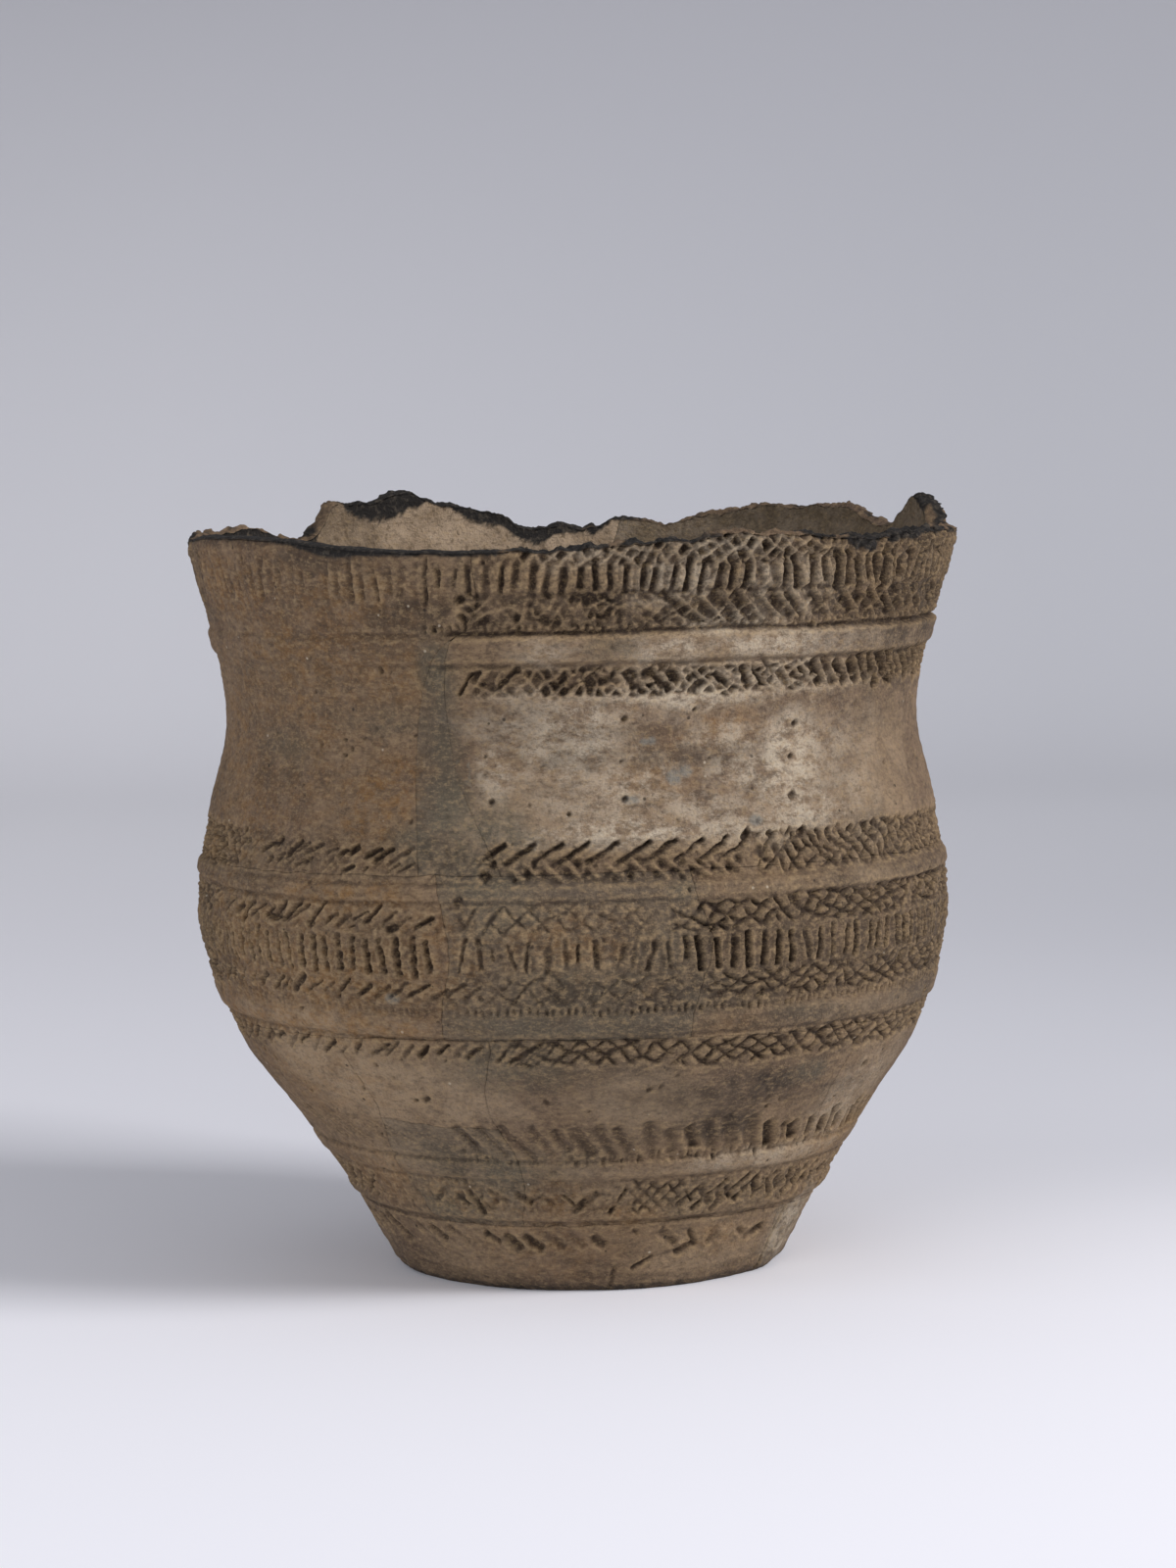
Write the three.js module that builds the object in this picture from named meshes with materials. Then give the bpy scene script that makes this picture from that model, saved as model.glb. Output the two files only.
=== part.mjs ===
// Cord-marked pottery jar: a hand-built beaker with a short neck, put together again
// from its sherds. Each sherd and each plaster fill is a solid of its own, and a thin
// line of glue parts it from its neighbours. Millimetres, +Z up, front towards -Y.
// Angles are in degrees round the jar, from the front towards +X.
import * as THREE from 'three';

// Outline of the jar: radius outside at each height
const baseRadius = 41.9;
const footRadius = 50.6;
const footHeight = 16.5;
const flareRadius = 63.2;
const flareHeight = 36;
const lowerRadius = 72.9;
const lowerHeight = 50;
const bellyRadius = 81.2;
const bellyHeight = 76;
const shoulderRadius = 78.4;
const shoulderHeight = 100;
const neckRadius = 74.5;
const neckHeight = 119;
const rimRadius = 83.2;
const rimHeight = 158;

// Thickness of the clay
const wall = 7;
const rimWall = 5.6;
const rimTaper = 26; // length below the rim over which the wall thins
const rimWear = 1.2; // the broken rim edge is rounded off by this
const slabThickness = 10;
const footWall = 7.6; // of the foot ring round the base slab
const floorCove = 3; // height of the curve from the slab up to the wall

// Hand-made irregularity
const ovalness = 0.5; // wider by this across X, narrower by this across Y
const bellyLean = 2.4; // the belly sits this far towards -X over the foot
const rimLean = 1.3; // and the rim this far

// Bands that stand proud all round, smoothed between the impressions
const cordonRise = 0.8;
const footCordon = { middle: 17.8, width: 2.8 };
const lowerCordon = { middle: 28.2, width: 4.2 };
const bellyCordon = { middle: 60.8, width: 4.6 };
const shoulderCordon = { middle: 88.2, width: 4 };
const neckCordon = { middle: 136.6, width: 5.4 };
const cordons = [footCordon, lowerCordon, bellyCordon, shoulderCordon, neckCordon];

// Belts of cord and comb marks, pressed in below the smooth bands beside them. On the left of
// the neck they are rubbed flat.
const beltDepth = 0.6;
const beltEdge = 0.5; // height over which the edge of a belt slopes in
const latticeBottom = 51.9;
const slotBeltBottom = 64.2;
const herringboneTop = 99.6;
const neckNetBottom = 127.4;
const rubbedMiddle = -52;
const rubbedHalf = 32;
const above = ({ middle, width }) => middle + width / 2;
const below = ({ middle, width }) => middle - width / 2;
const belts = [
  { from: above(footCordon), to: below(lowerCordon), rubbed: false },
  { from: latticeBottom, to: below(bellyCordon), rubbed: false },
  { from: slotBeltBottom, to: below(shoulderCordon), rubbed: false },
  { from: above(shoulderCordon), to: herringboneTop, rubbed: false },
  { from: neckNetBottom, to: below(neckCordon), rubbed: true },
  { from: above(neckCordon), to: 2 * rimHeight, rubbed: true },
];

// Heights of the breaks that run round the jar, and of the tops of two fills
const footBreakHeight = 15.4;
const lowerFillTopHeight = 39;
const lowerBreakHeight = 57.6;
const shoulderBreakHeight = 91.6;
const neckFillTopHeight = 137;

// Rows of upright slots, pressed side by side with the edge of a tool
const slotDepth = 1.0;
const slotEdge = 0.6; // height over which the end of a slot slopes in
const bellySlots = { from: 71.6, to: 79.4, step: 2.5, rubbed: false };
const rimSlots = { from: 148.2, to: 154.0, step: 2.25, rubbed: true };
const slotRows = [bellySlots, rimSlots];

// Line of glue between neighbouring pieces
const glueLine = 0.3;

// Spacing of the points round the jar, in degrees, and up it
const turnStep = 7.5;
const riseStep = 8;

const { degToRad, radToDeg, clamp, lerp, euclideanModulo } = THREE.MathUtils;

// A smooth curve through points [place, value]
function curve(...points) {
  const places = points.map((point) => point[0]);
  const values = points.map((point) => point[1]);
  const interpolant = new THREE.CubicInterpolant(places, values, 1);
  return (place) => interpolant.evaluate(place)[0];
}

const outline = curve(
  [0, baseRadius],
  [footHeight, footRadius],
  [flareHeight, flareRadius],
  [lowerHeight, lowerRadius],
  [bellyHeight, bellyRadius],
  [shoulderHeight, shoulderRadius],
  [neckHeight, neckRadius],
  [rimHeight, rimRadius],
);

const lean = curve([footHeight, 0], [bellyHeight, -bellyLean], [rimHeight, -rimLean]);

const oval = (angle) => -ovalness * Math.cos(2 * degToRad(angle));

function cordonAt(height) {
  let rise = 0;
  for (const { middle, width } of cordons) {
    const away = Math.abs(height - middle) / (width / 2);
    rise += away < 1 ? cordonRise * Math.sqrt(1 - away * away) : 0;
  }
  return rise;
}

// How much of the marks is left where the neck is rubbed: none in the middle, all beside it
function keptAt(angle) {
  const turned = Math.abs(euclideanModulo(angle - rubbedMiddle + 180, 360) - 180);
  return clamp((turned - rubbedHalf) / turnStep, 0, 1);
}

function beltAt(angle, height) {
  let cut = 0;
  for (const { from, to, rubbed } of belts) {
    const inside = clamp(Math.min(height - from, to - height) / beltEdge, 0, 1);
    cut += inside * beltDepth * (rubbed ? keptAt(angle) : 1);
  }
  return cut;
}

// A slot is deepest half way between two multiples of the row's step
function slotAt(angle, height) {
  let cut = 0;
  for (const { from, to, step, rubbed } of slotRows) {
    const across = 1 - Math.abs(2 * euclideanModulo(angle / step, 1) - 1);
    const inside = clamp(Math.min(height - from, to - height) / slotEdge, 0, 1);
    cut += across * inside * slotDepth * (rubbed ? keptAt(angle) : 1);
  }
  return cut;
}

const outerRadius = (angle, height) =>
  outline(height) + oval(angle) + cordonAt(height) - beltAt(angle, height) - slotAt(angle, height);

// Inside, the wall runs down to the base slab and then straight down its edge
function innerRadius(angle, height) {
  const slope = outline(height + 0.5) - outline(height - 0.5);
  const nearRim = clamp(1 - (rimHeight - height) / rimTaper, 0, 1);
  const levelCut = lerp(wall, rimWall, nearRim) * Math.hypot(1, slope);
  const overSlab = clamp((height - slabThickness) / floorCove, 0, 1);
  return lerp(baseRadius - footWall, outline(height) + oval(angle) - levelCut, overSlab);
}

function place(angle, height, radius) {
  const turn = degToRad(angle);
  return [lean(height) + radius * Math.sin(turn), -radius * Math.cos(turn), height];
}

// Edges that run round the jar: the height at each angle, and the glue left clear there
const ground = { at: () => 0, gap: 0 };

function breakRound(height, swing, waves, start) {
  const at = (angle) => height + swing * Math.sin(degToRad(waves * angle + start));
  return { at, gap: glueLine / 2 };
}
const footBreak = breakRound(footBreakHeight, 0.4, 3, 20);
const lowerFillTop = breakRound(lowerFillTopHeight, 0.9, 5, 0);
const lowerBreak = breakRound(lowerBreakHeight, 0.8, 3, 100);
const shoulderBreak = breakRound(shoulderBreakHeight, 0.7, 2, 60);
const neckFillTop = breakRound(neckFillTopHeight, 0, 1, 0);

// The rim is broken all round: how far its edge stands over or under rimHeight. It is
// highest on the back sherd, where the list starts and ends.
const rimPeak = -151;
const rimBreakage = curve(
  [rimPeak, 9.2],
  [-141, 6],
  [-134, 3],
  [-128, -0.6],
  [-114, 2],
  [-95, 0.4],
  [-59, 2],
  [-46, 1.6],
  [-36, 0.1],
  [-14, -0.8],
  [22, 2],
  [50, 0.4],
  [80, 0.8],
  [94, 0.6],
  [104, 6.6],
  [111, 5.6],
  [119, 2],
  [133, 4.2],
  [148, 3.6],
  [163, 0.4],
  [170, 1.1],
  [180, -0.1],
  [190, 1.2],
  [199, 4.8],
  [rimPeak + 360, 9.2],
);
const rim = {
  at: (angle) => rimHeight + rimBreakage(rimPeak + euclideanModulo(angle - rimPeak, 360)),
  gap: 0,
};

// Breaks that run up the jar: the angle at each height
function breakUp(angle, swing, length, start) {
  return (height) => angle + swing * Math.sin((2 * Math.PI * height) / length + start);
}
const fullTurn = 360;
const afterFullTurn = (line) => (height) => line(height) + fullTurn;

// The front of the neck: a break with a plaster fill on its right, which narrows to nothing
const neckFillLeft = curve(
  [91, -22.9],
  [102, -23.7],
  [116, -24.9],
  [132, -22.6],
  [138, -19.4],
  [142, -15.4],
  [158, -14.2],
);
const neckFillWidth = curve(
  [91, 12.9],
  [110, 7.3],
  [125, 4.4],
  [neckFillTopHeight, 1.4],
  [140, 0],
  [158, 0],
);
const neckFillRight = (height) => neckFillLeft(height) + Math.max(0, neckFillWidth(height));
const rimRightBreak = breakUp(71, 2.2, 60, 0);
const rimBackRightBreak = breakUp(122, 2, 48, 1);
const rimBackBreak = breakUp(173, 2.4, 70, 2);
const rimBackLeftBreak = breakUp(-131, 2, 52, 3);
const rimLeftBreak = breakUp(-79, 2.3, 64, 4);

const bellyFillLeft = breakUp(-19.5, 1.2, 40, 2);
const bellyFillRight = breakUp(19, 1.4, 34, 0);
const bellyRightBreak = breakUp(88, 1.8, 44, 1);
const bellyBackRightBreak = breakUp(150, 1.8, 50, 3);
const bellyBackLeftBreak = breakUp(-146, 2, 46, 5);
const bellyLeftBreak = breakUp(-83, 2, 54, 2);

const lowerFillLeft = breakUp(-41, 2, 36, 0);
const lowerFillRight = breakUp(-15, 1.6, 30, 2);
const lowerRightBreak = breakUp(52, 2.4, 40, 4);
const lowerBackRightBreak = breakUp(118, 2.2, 46, 1);
const lowerBackBreak = breakUp(-172, 2, 42, 3);
const lowerLeftBreak = breakUp(-104, 2.2, 38, 5);

const footFillLeft = breakUp(55.5, 1, 24, 0);
const footFillRight = breakUp(70, 1.2, 28, 2);
const footBackBreak = breakUp(-170, 2, 30, 1);
const footLeftBreak = breakUp(-64, 1.8, 26, 4);

// Heights at which every piece has a row of points, so that neighbours follow each other
function rowHeights() {
  const marks = [
    slabThickness,
    slabThickness + floorCove,
    rimHeight - rimTaper,
    ...cordons.flatMap(({ middle, width }) =>
      [-0.5, -0.25, 0.25, 0.5].map((share) => middle + share * width),
    ),
    ...belts.flatMap(({ from, to }) => [from, from + beltEdge, to - beltEdge, to]),
    ...slotRows.flatMap(({ from, to }) => [from, from + slotEdge, to - slotEdge, to]),
  ];
  const sorted = [0, ...marks, rimHeight]
    .filter((mark) => mark <= rimHeight)
    .sort((a, b) => a - b)
    .filter((mark, index, all) => index === 0 || mark - all[index - 1] > 0.01);
  const heights = [];
  for (let index = 1; index < sorted.length; index += 1) {
    const from = sorted[index - 1];
    const steps = Math.ceil((sorted[index] - from) / riseStep);
    for (let step = 1; step <= steps; step += 1) {
      heights.push(lerp(from, sorted[index], step / steps));
    }
  }
  return heights;
}
const rows = rowHeights();

// Height at which a break up the jar meets an edge round it
function meeting(up, round) {
  let height = round(0);
  for (let pass = 0; pass < 8; pass += 1) {
    height = round(up(height));
  }
  return height;
}

// Joins two lines of points that run the same way with triangles, in step with how far each
// point is along them; seen from outside, the second line lies on the left of the first
function strip(faces, first, second, along) {
  let i = 0;
  let j = 0;
  while (i < first.length - 1 || j < second.length - 1) {
    const ahead = i < first.length - 1 ? first[i + 1][along] : Infinity;
    const other = j < second.length - 1 ? second[j + 1][along] : Infinity;
    if (ahead <= other) {
      faces.push(first[i].index, first[i + 1].index, second[j].index);
      i += 1;
    } else {
      faces.push(first[i].index, second[j + 1].index, second[j].index);
      j += 1;
    }
  }
}

// A piece of the wall between two breaks up the jar and two edges round it
function wallPiece(left, right, bottom, top) {
  const low = (angle) => bottom.at(angle) + bottom.gap;
  const high = (angle) => top.at(angle) - top.gap;
  const ends = [left, right].flatMap((side) => [side(meeting(side, low)), side(meeting(side, high))]);
  const from = Math.max(ends[0], ends[1]);
  const to = Math.min(ends[2], ends[3]);
  const multiples = (step, margin) => {
    const found = [];
    for (let turn = Math.ceil((from + margin) / step); turn * step <= to - margin; turn += 1) {
      found.push(turn * step);
    }
    return found;
  };
  const whole = multiples(turnStep, turnStep * 0.45);
  const edges = [...ends, ...whole];
  const lowest = Math.max(...edges.map(low)) + 0.8;
  const highest = Math.min(...edges.map(high)) - Math.max(0.8, top === rim ? 2 * rimWear : 0);

  const points = [];
  const row = (angles, heightOf, radiusOf) =>
    [left, ...angles.map((angle) => () => angle), right].map((column, across, all) => {
      const side = Number(across === 0) - Number(across === all.length - 1);
      const height = heightOf(column);
      const shift = radToDeg(((side * glueLine) / 2) / innerRadius(0, height));
      const angle = column(height) + shift;
      points.push(...place(angle, height, radiusOf(angle, height)));
      return { index: points.length / 3 - 1, angle, height };
    });

  const rowAngles = (height) => {
    const slots = slotRows.find(({ from, to }) => height > from + 0.01 && height < to - 0.01);
    return slots ? multiples(slots.step / 2, slots.step / 2) : whole;
  };
  const between = rows.filter((height) => height > lowest && height < highest);
  const foot = (column) => meeting(column, low);
  const crest = (column) => meeting(column, high);
  const worn = top === rim ? rimWear : 0;
  const outside = [
    row(whole, foot, outerRadius),
    ...between.map((height) => row(rowAngles(height), () => height, outerRadius)),
  ];
  const inside = [
    row(whole, foot, innerRadius),
    ...between.map((height) => row(whole, () => height, innerRadius)),
  ];
  if (worn > 0) {
    outside.push(row(whole, (column) => crest(column) - worn, outerRadius));
    inside.push(row(whole, (column) => crest(column) - worn, innerRadius));
  }
  outside.push(row(whole, crest, (angle, height) => outerRadius(angle, height) - worn));
  inside.push(row(whole, crest, (angle, height) => innerRadius(angle, height) + worn / 2));

  const faces = [];
  for (let up = 1; up < outside.length; up += 1) {
    strip(faces, outside[up - 1], outside[up], 'angle');
  }
  for (let up = 1; up < inside.length; up += 1) {
    strip(faces, inside[up], inside[up - 1], 'angle');
  }
  strip(faces, inside[0], outside[0], 'angle');
  strip(faces, outside.at(-1), inside.at(-1), 'angle');
  const leftEnd = (lines) => lines.map((line) => line[0]);
  const rightEnd = (lines) => lines.map((line) => line.at(-1));
  strip(faces, leftEnd(outside), leftEnd(inside), 'height');
  strip(faces, rightEnd(inside), rightEnd(outside), 'height');

  const geometry = new THREE.BufferGeometry();
  geometry.setAttribute('position', new THREE.Float32BufferAttribute(points, 3));
  geometry.setIndex(faces);
  geometry.computeVertexNormals();
  return geometry;
}

// The base is a thick round slab of clay that the foot ring was pressed on to
function baseSlab() {
  const radius = baseRadius - footWall - glueLine;
  const chamfer = slabThickness * 0.12;
  const profile = [
    new THREE.Vector2(0, 0),
    new THREE.Vector2(radius - chamfer, 0),
    new THREE.Vector2(radius, chamfer),
    new THREE.Vector2(radius, slabThickness - chamfer),
    new THREE.Vector2(radius - chamfer, slabThickness),
    new THREE.Vector2(0, slabThickness),
  ];
  return new THREE.LatheGeometry(profile, Math.round(360 / turnStep)).rotateX(Math.PI / 2);
}

const palette = { brown: 0x8f6f50, dark: 0x6b5642, pale: 0xa98a67, plaster: 0x827d6e };
const finish = { roughness: 0.92, metalness: 0 };

const jar = new THREE.Group();

function add(name, colour, geometry) {
  const material = new THREE.MeshStandardMaterial({ color: palette[colour], ...finish });
  const mesh = new THREE.Mesh(geometry, material);
  mesh.name = name;
  jar.add(mesh);
}

function addTier(bottom, top, pieces) {
  for (const [name, colour, left, right] of pieces) {
    add(name, colour, wallPiece(left, right, bottom, top));
  }
}

add('base_slab', 'dark', baseSlab());

addTier(ground, footBreak, [
  ['foot_sherd_front', 'brown', footLeftBreak, footFillLeft],
  ['foot_fill', 'plaster', footFillLeft, footFillRight],
  ['foot_sherd_back_right', 'dark', footFillRight, afterFullTurn(footBackBreak)],
  ['foot_sherd_left', 'brown', footBackBreak, footLeftBreak],
]);

addTier(footBreak, lowerBreak, [
  ['lower_sherd_front', 'dark', lowerFillRight, lowerRightBreak],
  ['lower_sherd_right', 'brown', lowerRightBreak, lowerBackRightBreak],
  ['lower_sherd_back', 'dark', lowerBackRightBreak, afterFullTurn(lowerBackBreak)],
  ['lower_sherd_left', 'brown', lowerBackBreak, lowerLeftBreak],
  ['lower_sherd_front_left', 'brown', lowerLeftBreak, lowerFillLeft],
]);
addTier(footBreak, lowerFillTop, [['lower_fill', 'plaster', lowerFillLeft, lowerFillRight]]);
addTier(lowerFillTop, lowerBreak, [['lower_sherd_small', 'brown', lowerFillLeft, lowerFillRight]]);

addTier(lowerBreak, shoulderBreak, [
  ['belly_fill', 'plaster', bellyFillLeft, bellyFillRight],
  ['belly_sherd_right', 'brown', bellyFillRight, bellyRightBreak],
  ['belly_sherd_back_right', 'dark', bellyRightBreak, bellyBackRightBreak],
  ['belly_sherd_back', 'brown', bellyBackRightBreak, afterFullTurn(bellyBackLeftBreak)],
  ['belly_sherd_back_left', 'brown', bellyBackLeftBreak, bellyLeftBreak],
  ['belly_sherd_front_left', 'dark', bellyLeftBreak, bellyFillLeft],
]);

addTier(shoulderBreak, rim, [
  ['rim_sherd_front', 'pale', neckFillRight, rimRightBreak],
  ['rim_sherd_right', 'brown', rimRightBreak, rimBackRightBreak],
  ['rim_sherd_back_right', 'dark', rimBackRightBreak, rimBackBreak],
  ['rim_sherd_back', 'pale', rimBackBreak, afterFullTurn(rimBackLeftBreak)],
  ['rim_sherd_back_left', 'brown', rimBackLeftBreak, rimLeftBreak],
  ['rim_sherd_left', 'brown', rimLeftBreak, neckFillLeft],
]);
addTier(shoulderBreak, neckFillTop, [['neck_fill', 'plaster', neckFillLeft, neckFillRight]]);

export default jar;
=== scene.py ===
import math

import bmesh
import bpy
import numpy as np
from mathutils import Matrix, Vector


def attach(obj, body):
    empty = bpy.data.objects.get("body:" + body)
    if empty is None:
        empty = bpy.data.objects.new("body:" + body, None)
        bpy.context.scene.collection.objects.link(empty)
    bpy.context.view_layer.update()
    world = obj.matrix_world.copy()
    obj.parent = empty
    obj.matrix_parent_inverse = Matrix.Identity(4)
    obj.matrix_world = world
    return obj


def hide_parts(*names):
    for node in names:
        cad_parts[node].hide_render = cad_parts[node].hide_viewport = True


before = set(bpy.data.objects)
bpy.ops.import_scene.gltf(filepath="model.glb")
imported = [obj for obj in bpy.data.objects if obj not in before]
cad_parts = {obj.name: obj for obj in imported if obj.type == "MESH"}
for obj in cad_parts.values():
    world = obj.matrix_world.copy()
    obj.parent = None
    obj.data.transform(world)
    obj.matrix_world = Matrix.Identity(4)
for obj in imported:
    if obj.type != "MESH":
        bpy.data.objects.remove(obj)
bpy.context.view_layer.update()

# The wall of the jar
# A hand-built beaker of coarse clay, coiled up on a slab, smoothed and marked all over with
# a toothed tool and a twisted cord, then fired brown in an open fire. All its sherds and
# fills are parts of this one wall. Millimetres and degrees; angle 0 is the front, -Y.
MM = 0.001


def curve(*points):
    """A smooth curve through (place, value), with the mean slope of its two sides at each."""
    places, values = np.array(points, float).T
    side = np.diff(values) / np.diff(places)
    slope = np.concatenate([side[:1], (side[1:] + side[:-1]) / 2, side[-1:]])

    def at(place):
        place = np.clip(place, places[0], places[-1])
        i = np.clip(np.searchsorted(places, place, side="right") - 1, 0, len(side) - 1)
        step = places[i + 1] - places[i]
        t = (place - places[i]) / step
        rise = slope[i] * step * t * (1 - t) ** 2 - slope[i + 1] * step * t * t * (1 - t)
        return values[i] + (values[i + 1] - values[i]) * t * t * (3 - 2 * t) + rise

    return at


BASE_RADIUS = 41.9
SLAB_THICKNESS, FOOT_WALL, FLOOR_COVE = 10, 7.6, 3
RIM_HEIGHT, RIM_WALL, RIM_TAPER, WALL = 158, 5.6, 26, 7
outline = curve(
    (0, BASE_RADIUS), (16.5, 50.6), (36, 63.2), (50, 72.9), (76, 81.2), (100, 78.4), (119, 74.5),
    (158, 83.2),
)
lean = curve((16.5, 0), (76, -2.4), (158, -1.3))
CORDONS = (  # middle, width and rise
    (17.8, 2.8, 0.6), (28.2, 4.2, 0.45), (60.8, 4.6, 0.45), (88.2, 4, 0.5), (136.6, 5.4, 0.75)
)
SKIN = 0.3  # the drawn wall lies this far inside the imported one, to leave room for the marks


def smooth(low, high, value):
    """0 below low, 1 above high, and a soft step between them."""
    t = np.clip((value - low) / (high - low), 0, 1)
    return t * t * (3 - 2 * t)


def oval(angle):
    return -0.5 * np.cos(2 * np.radians(angle))


def outer_radius(angle, height):
    radius = outline(height) + oval(angle) - SKIN
    for middle, width, rise in CORDONS:
        away = np.abs(height - middle) / (width / 2)
        radius = radius + rise * np.sqrt(np.clip(1 - away**4, 0, 1))
    return radius


def inner_radius(angle, height):
    slope = outline(height + 0.5) - outline(height - 0.5)
    near_rim = np.clip(1 - (RIM_HEIGHT - height) / RIM_TAPER, 0, 1)
    level_cut = (WALL + (RIM_WALL - WALL) * near_rim) * np.hypot(1, slope)
    over_slab = np.clip((height - SLAB_THICKNESS) / FLOOR_COVE, 0, 1)
    seat = BASE_RADIUS - FOOT_WALL
    return seat + (outline(height) + oval(angle) - level_cut - seat) * over_slab


# The surface of the wall, unrolled
# Relief and stains lie on a grid of angle against height, which every piece reads, so that
# marks run on from sherd to sherd. A row is 0.2 mm high and a column about 0.17 mm wide.
COLUMNS, ROWS, ROW_MM = 2880, 845, 0.2
MEAN_RADIUS = 74
angles = np.arange(COLUMNS) * 360 / COLUMNS - 180
heights = np.arange(ROWS) * ROW_MM
radii = outline(heights)
ANGLE, HEIGHT = np.meshgrid(angles, heights)
relief = np.zeros((ROWS, COLUMNS))


def grain(seed, across, up=None):
    """Even noise over the grid with lumps of about that many millimetres, from -1 to 1."""
    noise = np.random.default_rng(seed).standard_normal((ROWS, COLUMNS))
    fx = np.fft.rfftfreq(COLUMNS, 2 * math.pi * MEAN_RADIUS / COLUMNS)
    fy = np.fft.fftfreq(ROWS, ROW_MM)[:, None]
    keep = np.exp(-((fx * across) ** 2 + (fy * (up or across)) ** 2) * 2.2)
    noise = np.fft.irfft2(np.fft.rfft2(noise) * keep, (ROWS, COLUMNS))
    return np.clip(noise / noise.std() / 2.4, -1, 1)


def sample(field, angle, height):
    """A value of the unrolled grid between its points."""
    row = np.clip(np.asarray(height, float) / ROW_MM, 0, ROWS - 1.001)
    column = (np.asarray(angle, float) + 180) % 360 * COLUMNS / 360
    i, j = row.astype(int), column.astype(int)
    a, b = row - i, column - j
    right, j = (j + 1) % COLUMNS, j % COLUMNS
    return (1 - a) * ((1 - b) * field[i, j] + b * field[i, right]) + a * (
        (1 - b) * field[i + 1, j] + b * field[i + 1, right]
    )


wander = grain(1, 14)
ragged = grain(2, 4)
fine = grain(3, 1.3)


def patch(angle, height, wide, tall, edge=0.4):
    """1 inside a ragged-edged blot of that half width and half height in millimetres, else 0."""
    turn = (ANGLE - angle + 180) % 360 - 180
    far = np.hypot(np.radians(turn) * radii[:, None] / wide, (HEIGHT - height) / tall)
    return smooth(1 + edge, 1 - edge, far + 0.35 * wander + 0.22 * ragged)


def press(angle, height, length, width, tilt, depth, tooth=0.0, burr=0.25, flat=4):
    """One mark of a tool's edge in wet clay: length along the mark, tilt in degrees from upright
    towards +X, a tooth spacing for a comb or cord, and a burr of clay pushed up beside it."""
    reach = length / 2 + 2 * width
    row = int(round(height / ROW_MM))
    if not 0 <= row < ROWS:
        return
    tall = int(reach / ROW_MM)
    wide = int(reach / (math.radians(360 / COLUMNS) * radii[row]))
    column = int(round((angle + 180) * COLUMNS / 360))
    rows = slice(max(row - tall, 0), min(row + tall + 1, ROWS))
    columns = np.arange(column - wide, column + wide + 1) % COLUMNS
    turn = (angles[columns] - angle + 180) % 360 - 180
    x = np.radians(turn)[None, :] * radii[rows][:, None]
    y = (heights[rows] - height)[:, None] + 0 * x
    c, s = math.cos(math.radians(tilt)), math.sin(math.radians(tilt))
    along, side = x * s + y * c, x * c - y * s
    ends = smooth(length / 2 + 0.35, length / 2 - 0.35, np.abs(along))
    cut = ends * np.exp(-np.abs(side / (width / 2)) ** flat)
    level = np.full_like(cut, -depth)
    if tooth:
        bead = 0.5 + 0.5 * np.cos(2 * math.pi * along / tooth + angle)
        level = level * (0.5 + 0.5 * bead)
        cut = cut * (0.7 + 0.3 * bead)
    lip = burr * ends * np.exp(-(((np.abs(side) - width * 0.72) / (width * 0.3)) ** 2))
    window = relief[rows, :][:, columns]
    relief[np.ix_(range(*rows.indices(ROWS)), columns)] = window * (1 - cut) + level * cut + lip


def strokes(seed, first, last, height, pitch, length, width, tilt, depth, tooth=0.0, loose=0.15, **more):
    """A row of like marks round the jar from one angle to another, made one by one by hand."""
    dice = np.random.default_rng(seed)
    step = math.degrees(pitch / float(outline(height)))
    for angle in np.arange(first, last, step):
        slip = dice.normal(0, loose, 6)
        press(
            angle + slip[0] * step * 0.7,
            height + slip[1] * 1.4,
            length * (1 + slip[2]),
            width * (1 + slip[3]),
            tilt + slip[4] * 28,
            depth * np.clip(1 + 1.6 * slip[5], 0.3, 1.6),
            tooth,
            **more,
        )


def crossed(seed, first, last, low, high, lines, level, cells, uneven=1.0, shingle=0.0):
    """A belt of crossing lines at one level, with cells between them at another. Each set of
    lines is a pitch round the jar, a tilt in degrees from upright and a width. A shingle tips
    each cell out on its upper side."""
    rows = slice(int(max(low - 3, 0) / ROW_MM), int((high + 3) / ROW_MM))
    height = HEIGHT[rows]
    wavy, rough = np.roll(wander, 311 * seed, 1)[rows], np.roll(ragged, 173 * seed, 1)[rows]
    net, tip, cell = np.zeros_like(height), np.zeros_like(height), np.zeros(height.shape, int)
    for pitch, tilt, width in lines:
        count = round(2 * math.pi * float(outline(low)) / pitch)
        phase = ANGLE[rows] * count / 360 - height * math.tan(math.radians(tilt)) / pitch
        phase = phase + uneven * (0.34 * wavy + 0.14 * rough) * (1 if tilt > 0 else -1)
        away = np.abs(phase - np.round(phase)) * pitch * math.cos(math.radians(tilt))
        whole = smooth(-0.95, -0.5, rough * np.sign(tilt))
        net = np.maximum(net, np.exp(-((away * 2 / width) ** 3)) * whole)
        tip = tip + (phase - np.floor(phase) - 0.5) * -np.sign(tilt)
        cell = cell * 31 + np.floor(phase).astype(int)
    inside = band(low, high, first, last, 1.2)[rows]
    chance = np.random.default_rng(seed).uniform(0.4, 1.25, 997)[cell % 997]
    floor = cells * chance * (1 + 0.3 * rough) + 0.25 * (chance - 0.8) + shingle * tip
    made = floor * (1 - net) + level * (1 + 0.3 * wavy) * net
    relief[rows] = relief[rows] * (1 - inside) + made * inside


def groove(height, depth, width, first=-180, last=180, waver=0.5):
    """A line scored round the jar."""
    turn = (ANGLE - first) % 360
    span = last - first
    inside = smooth(0, 4, turn) * smooth(span, span - 4, turn) if span < 360 else 1
    line = height + waver * np.sin(np.radians(ANGLE * 3 + 50)) * 0.6 + waver * wander * 0.5
    return depth * inside * np.exp(-(np.abs(HEIGHT - line) / (width / 2)) ** 2.5)


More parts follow.
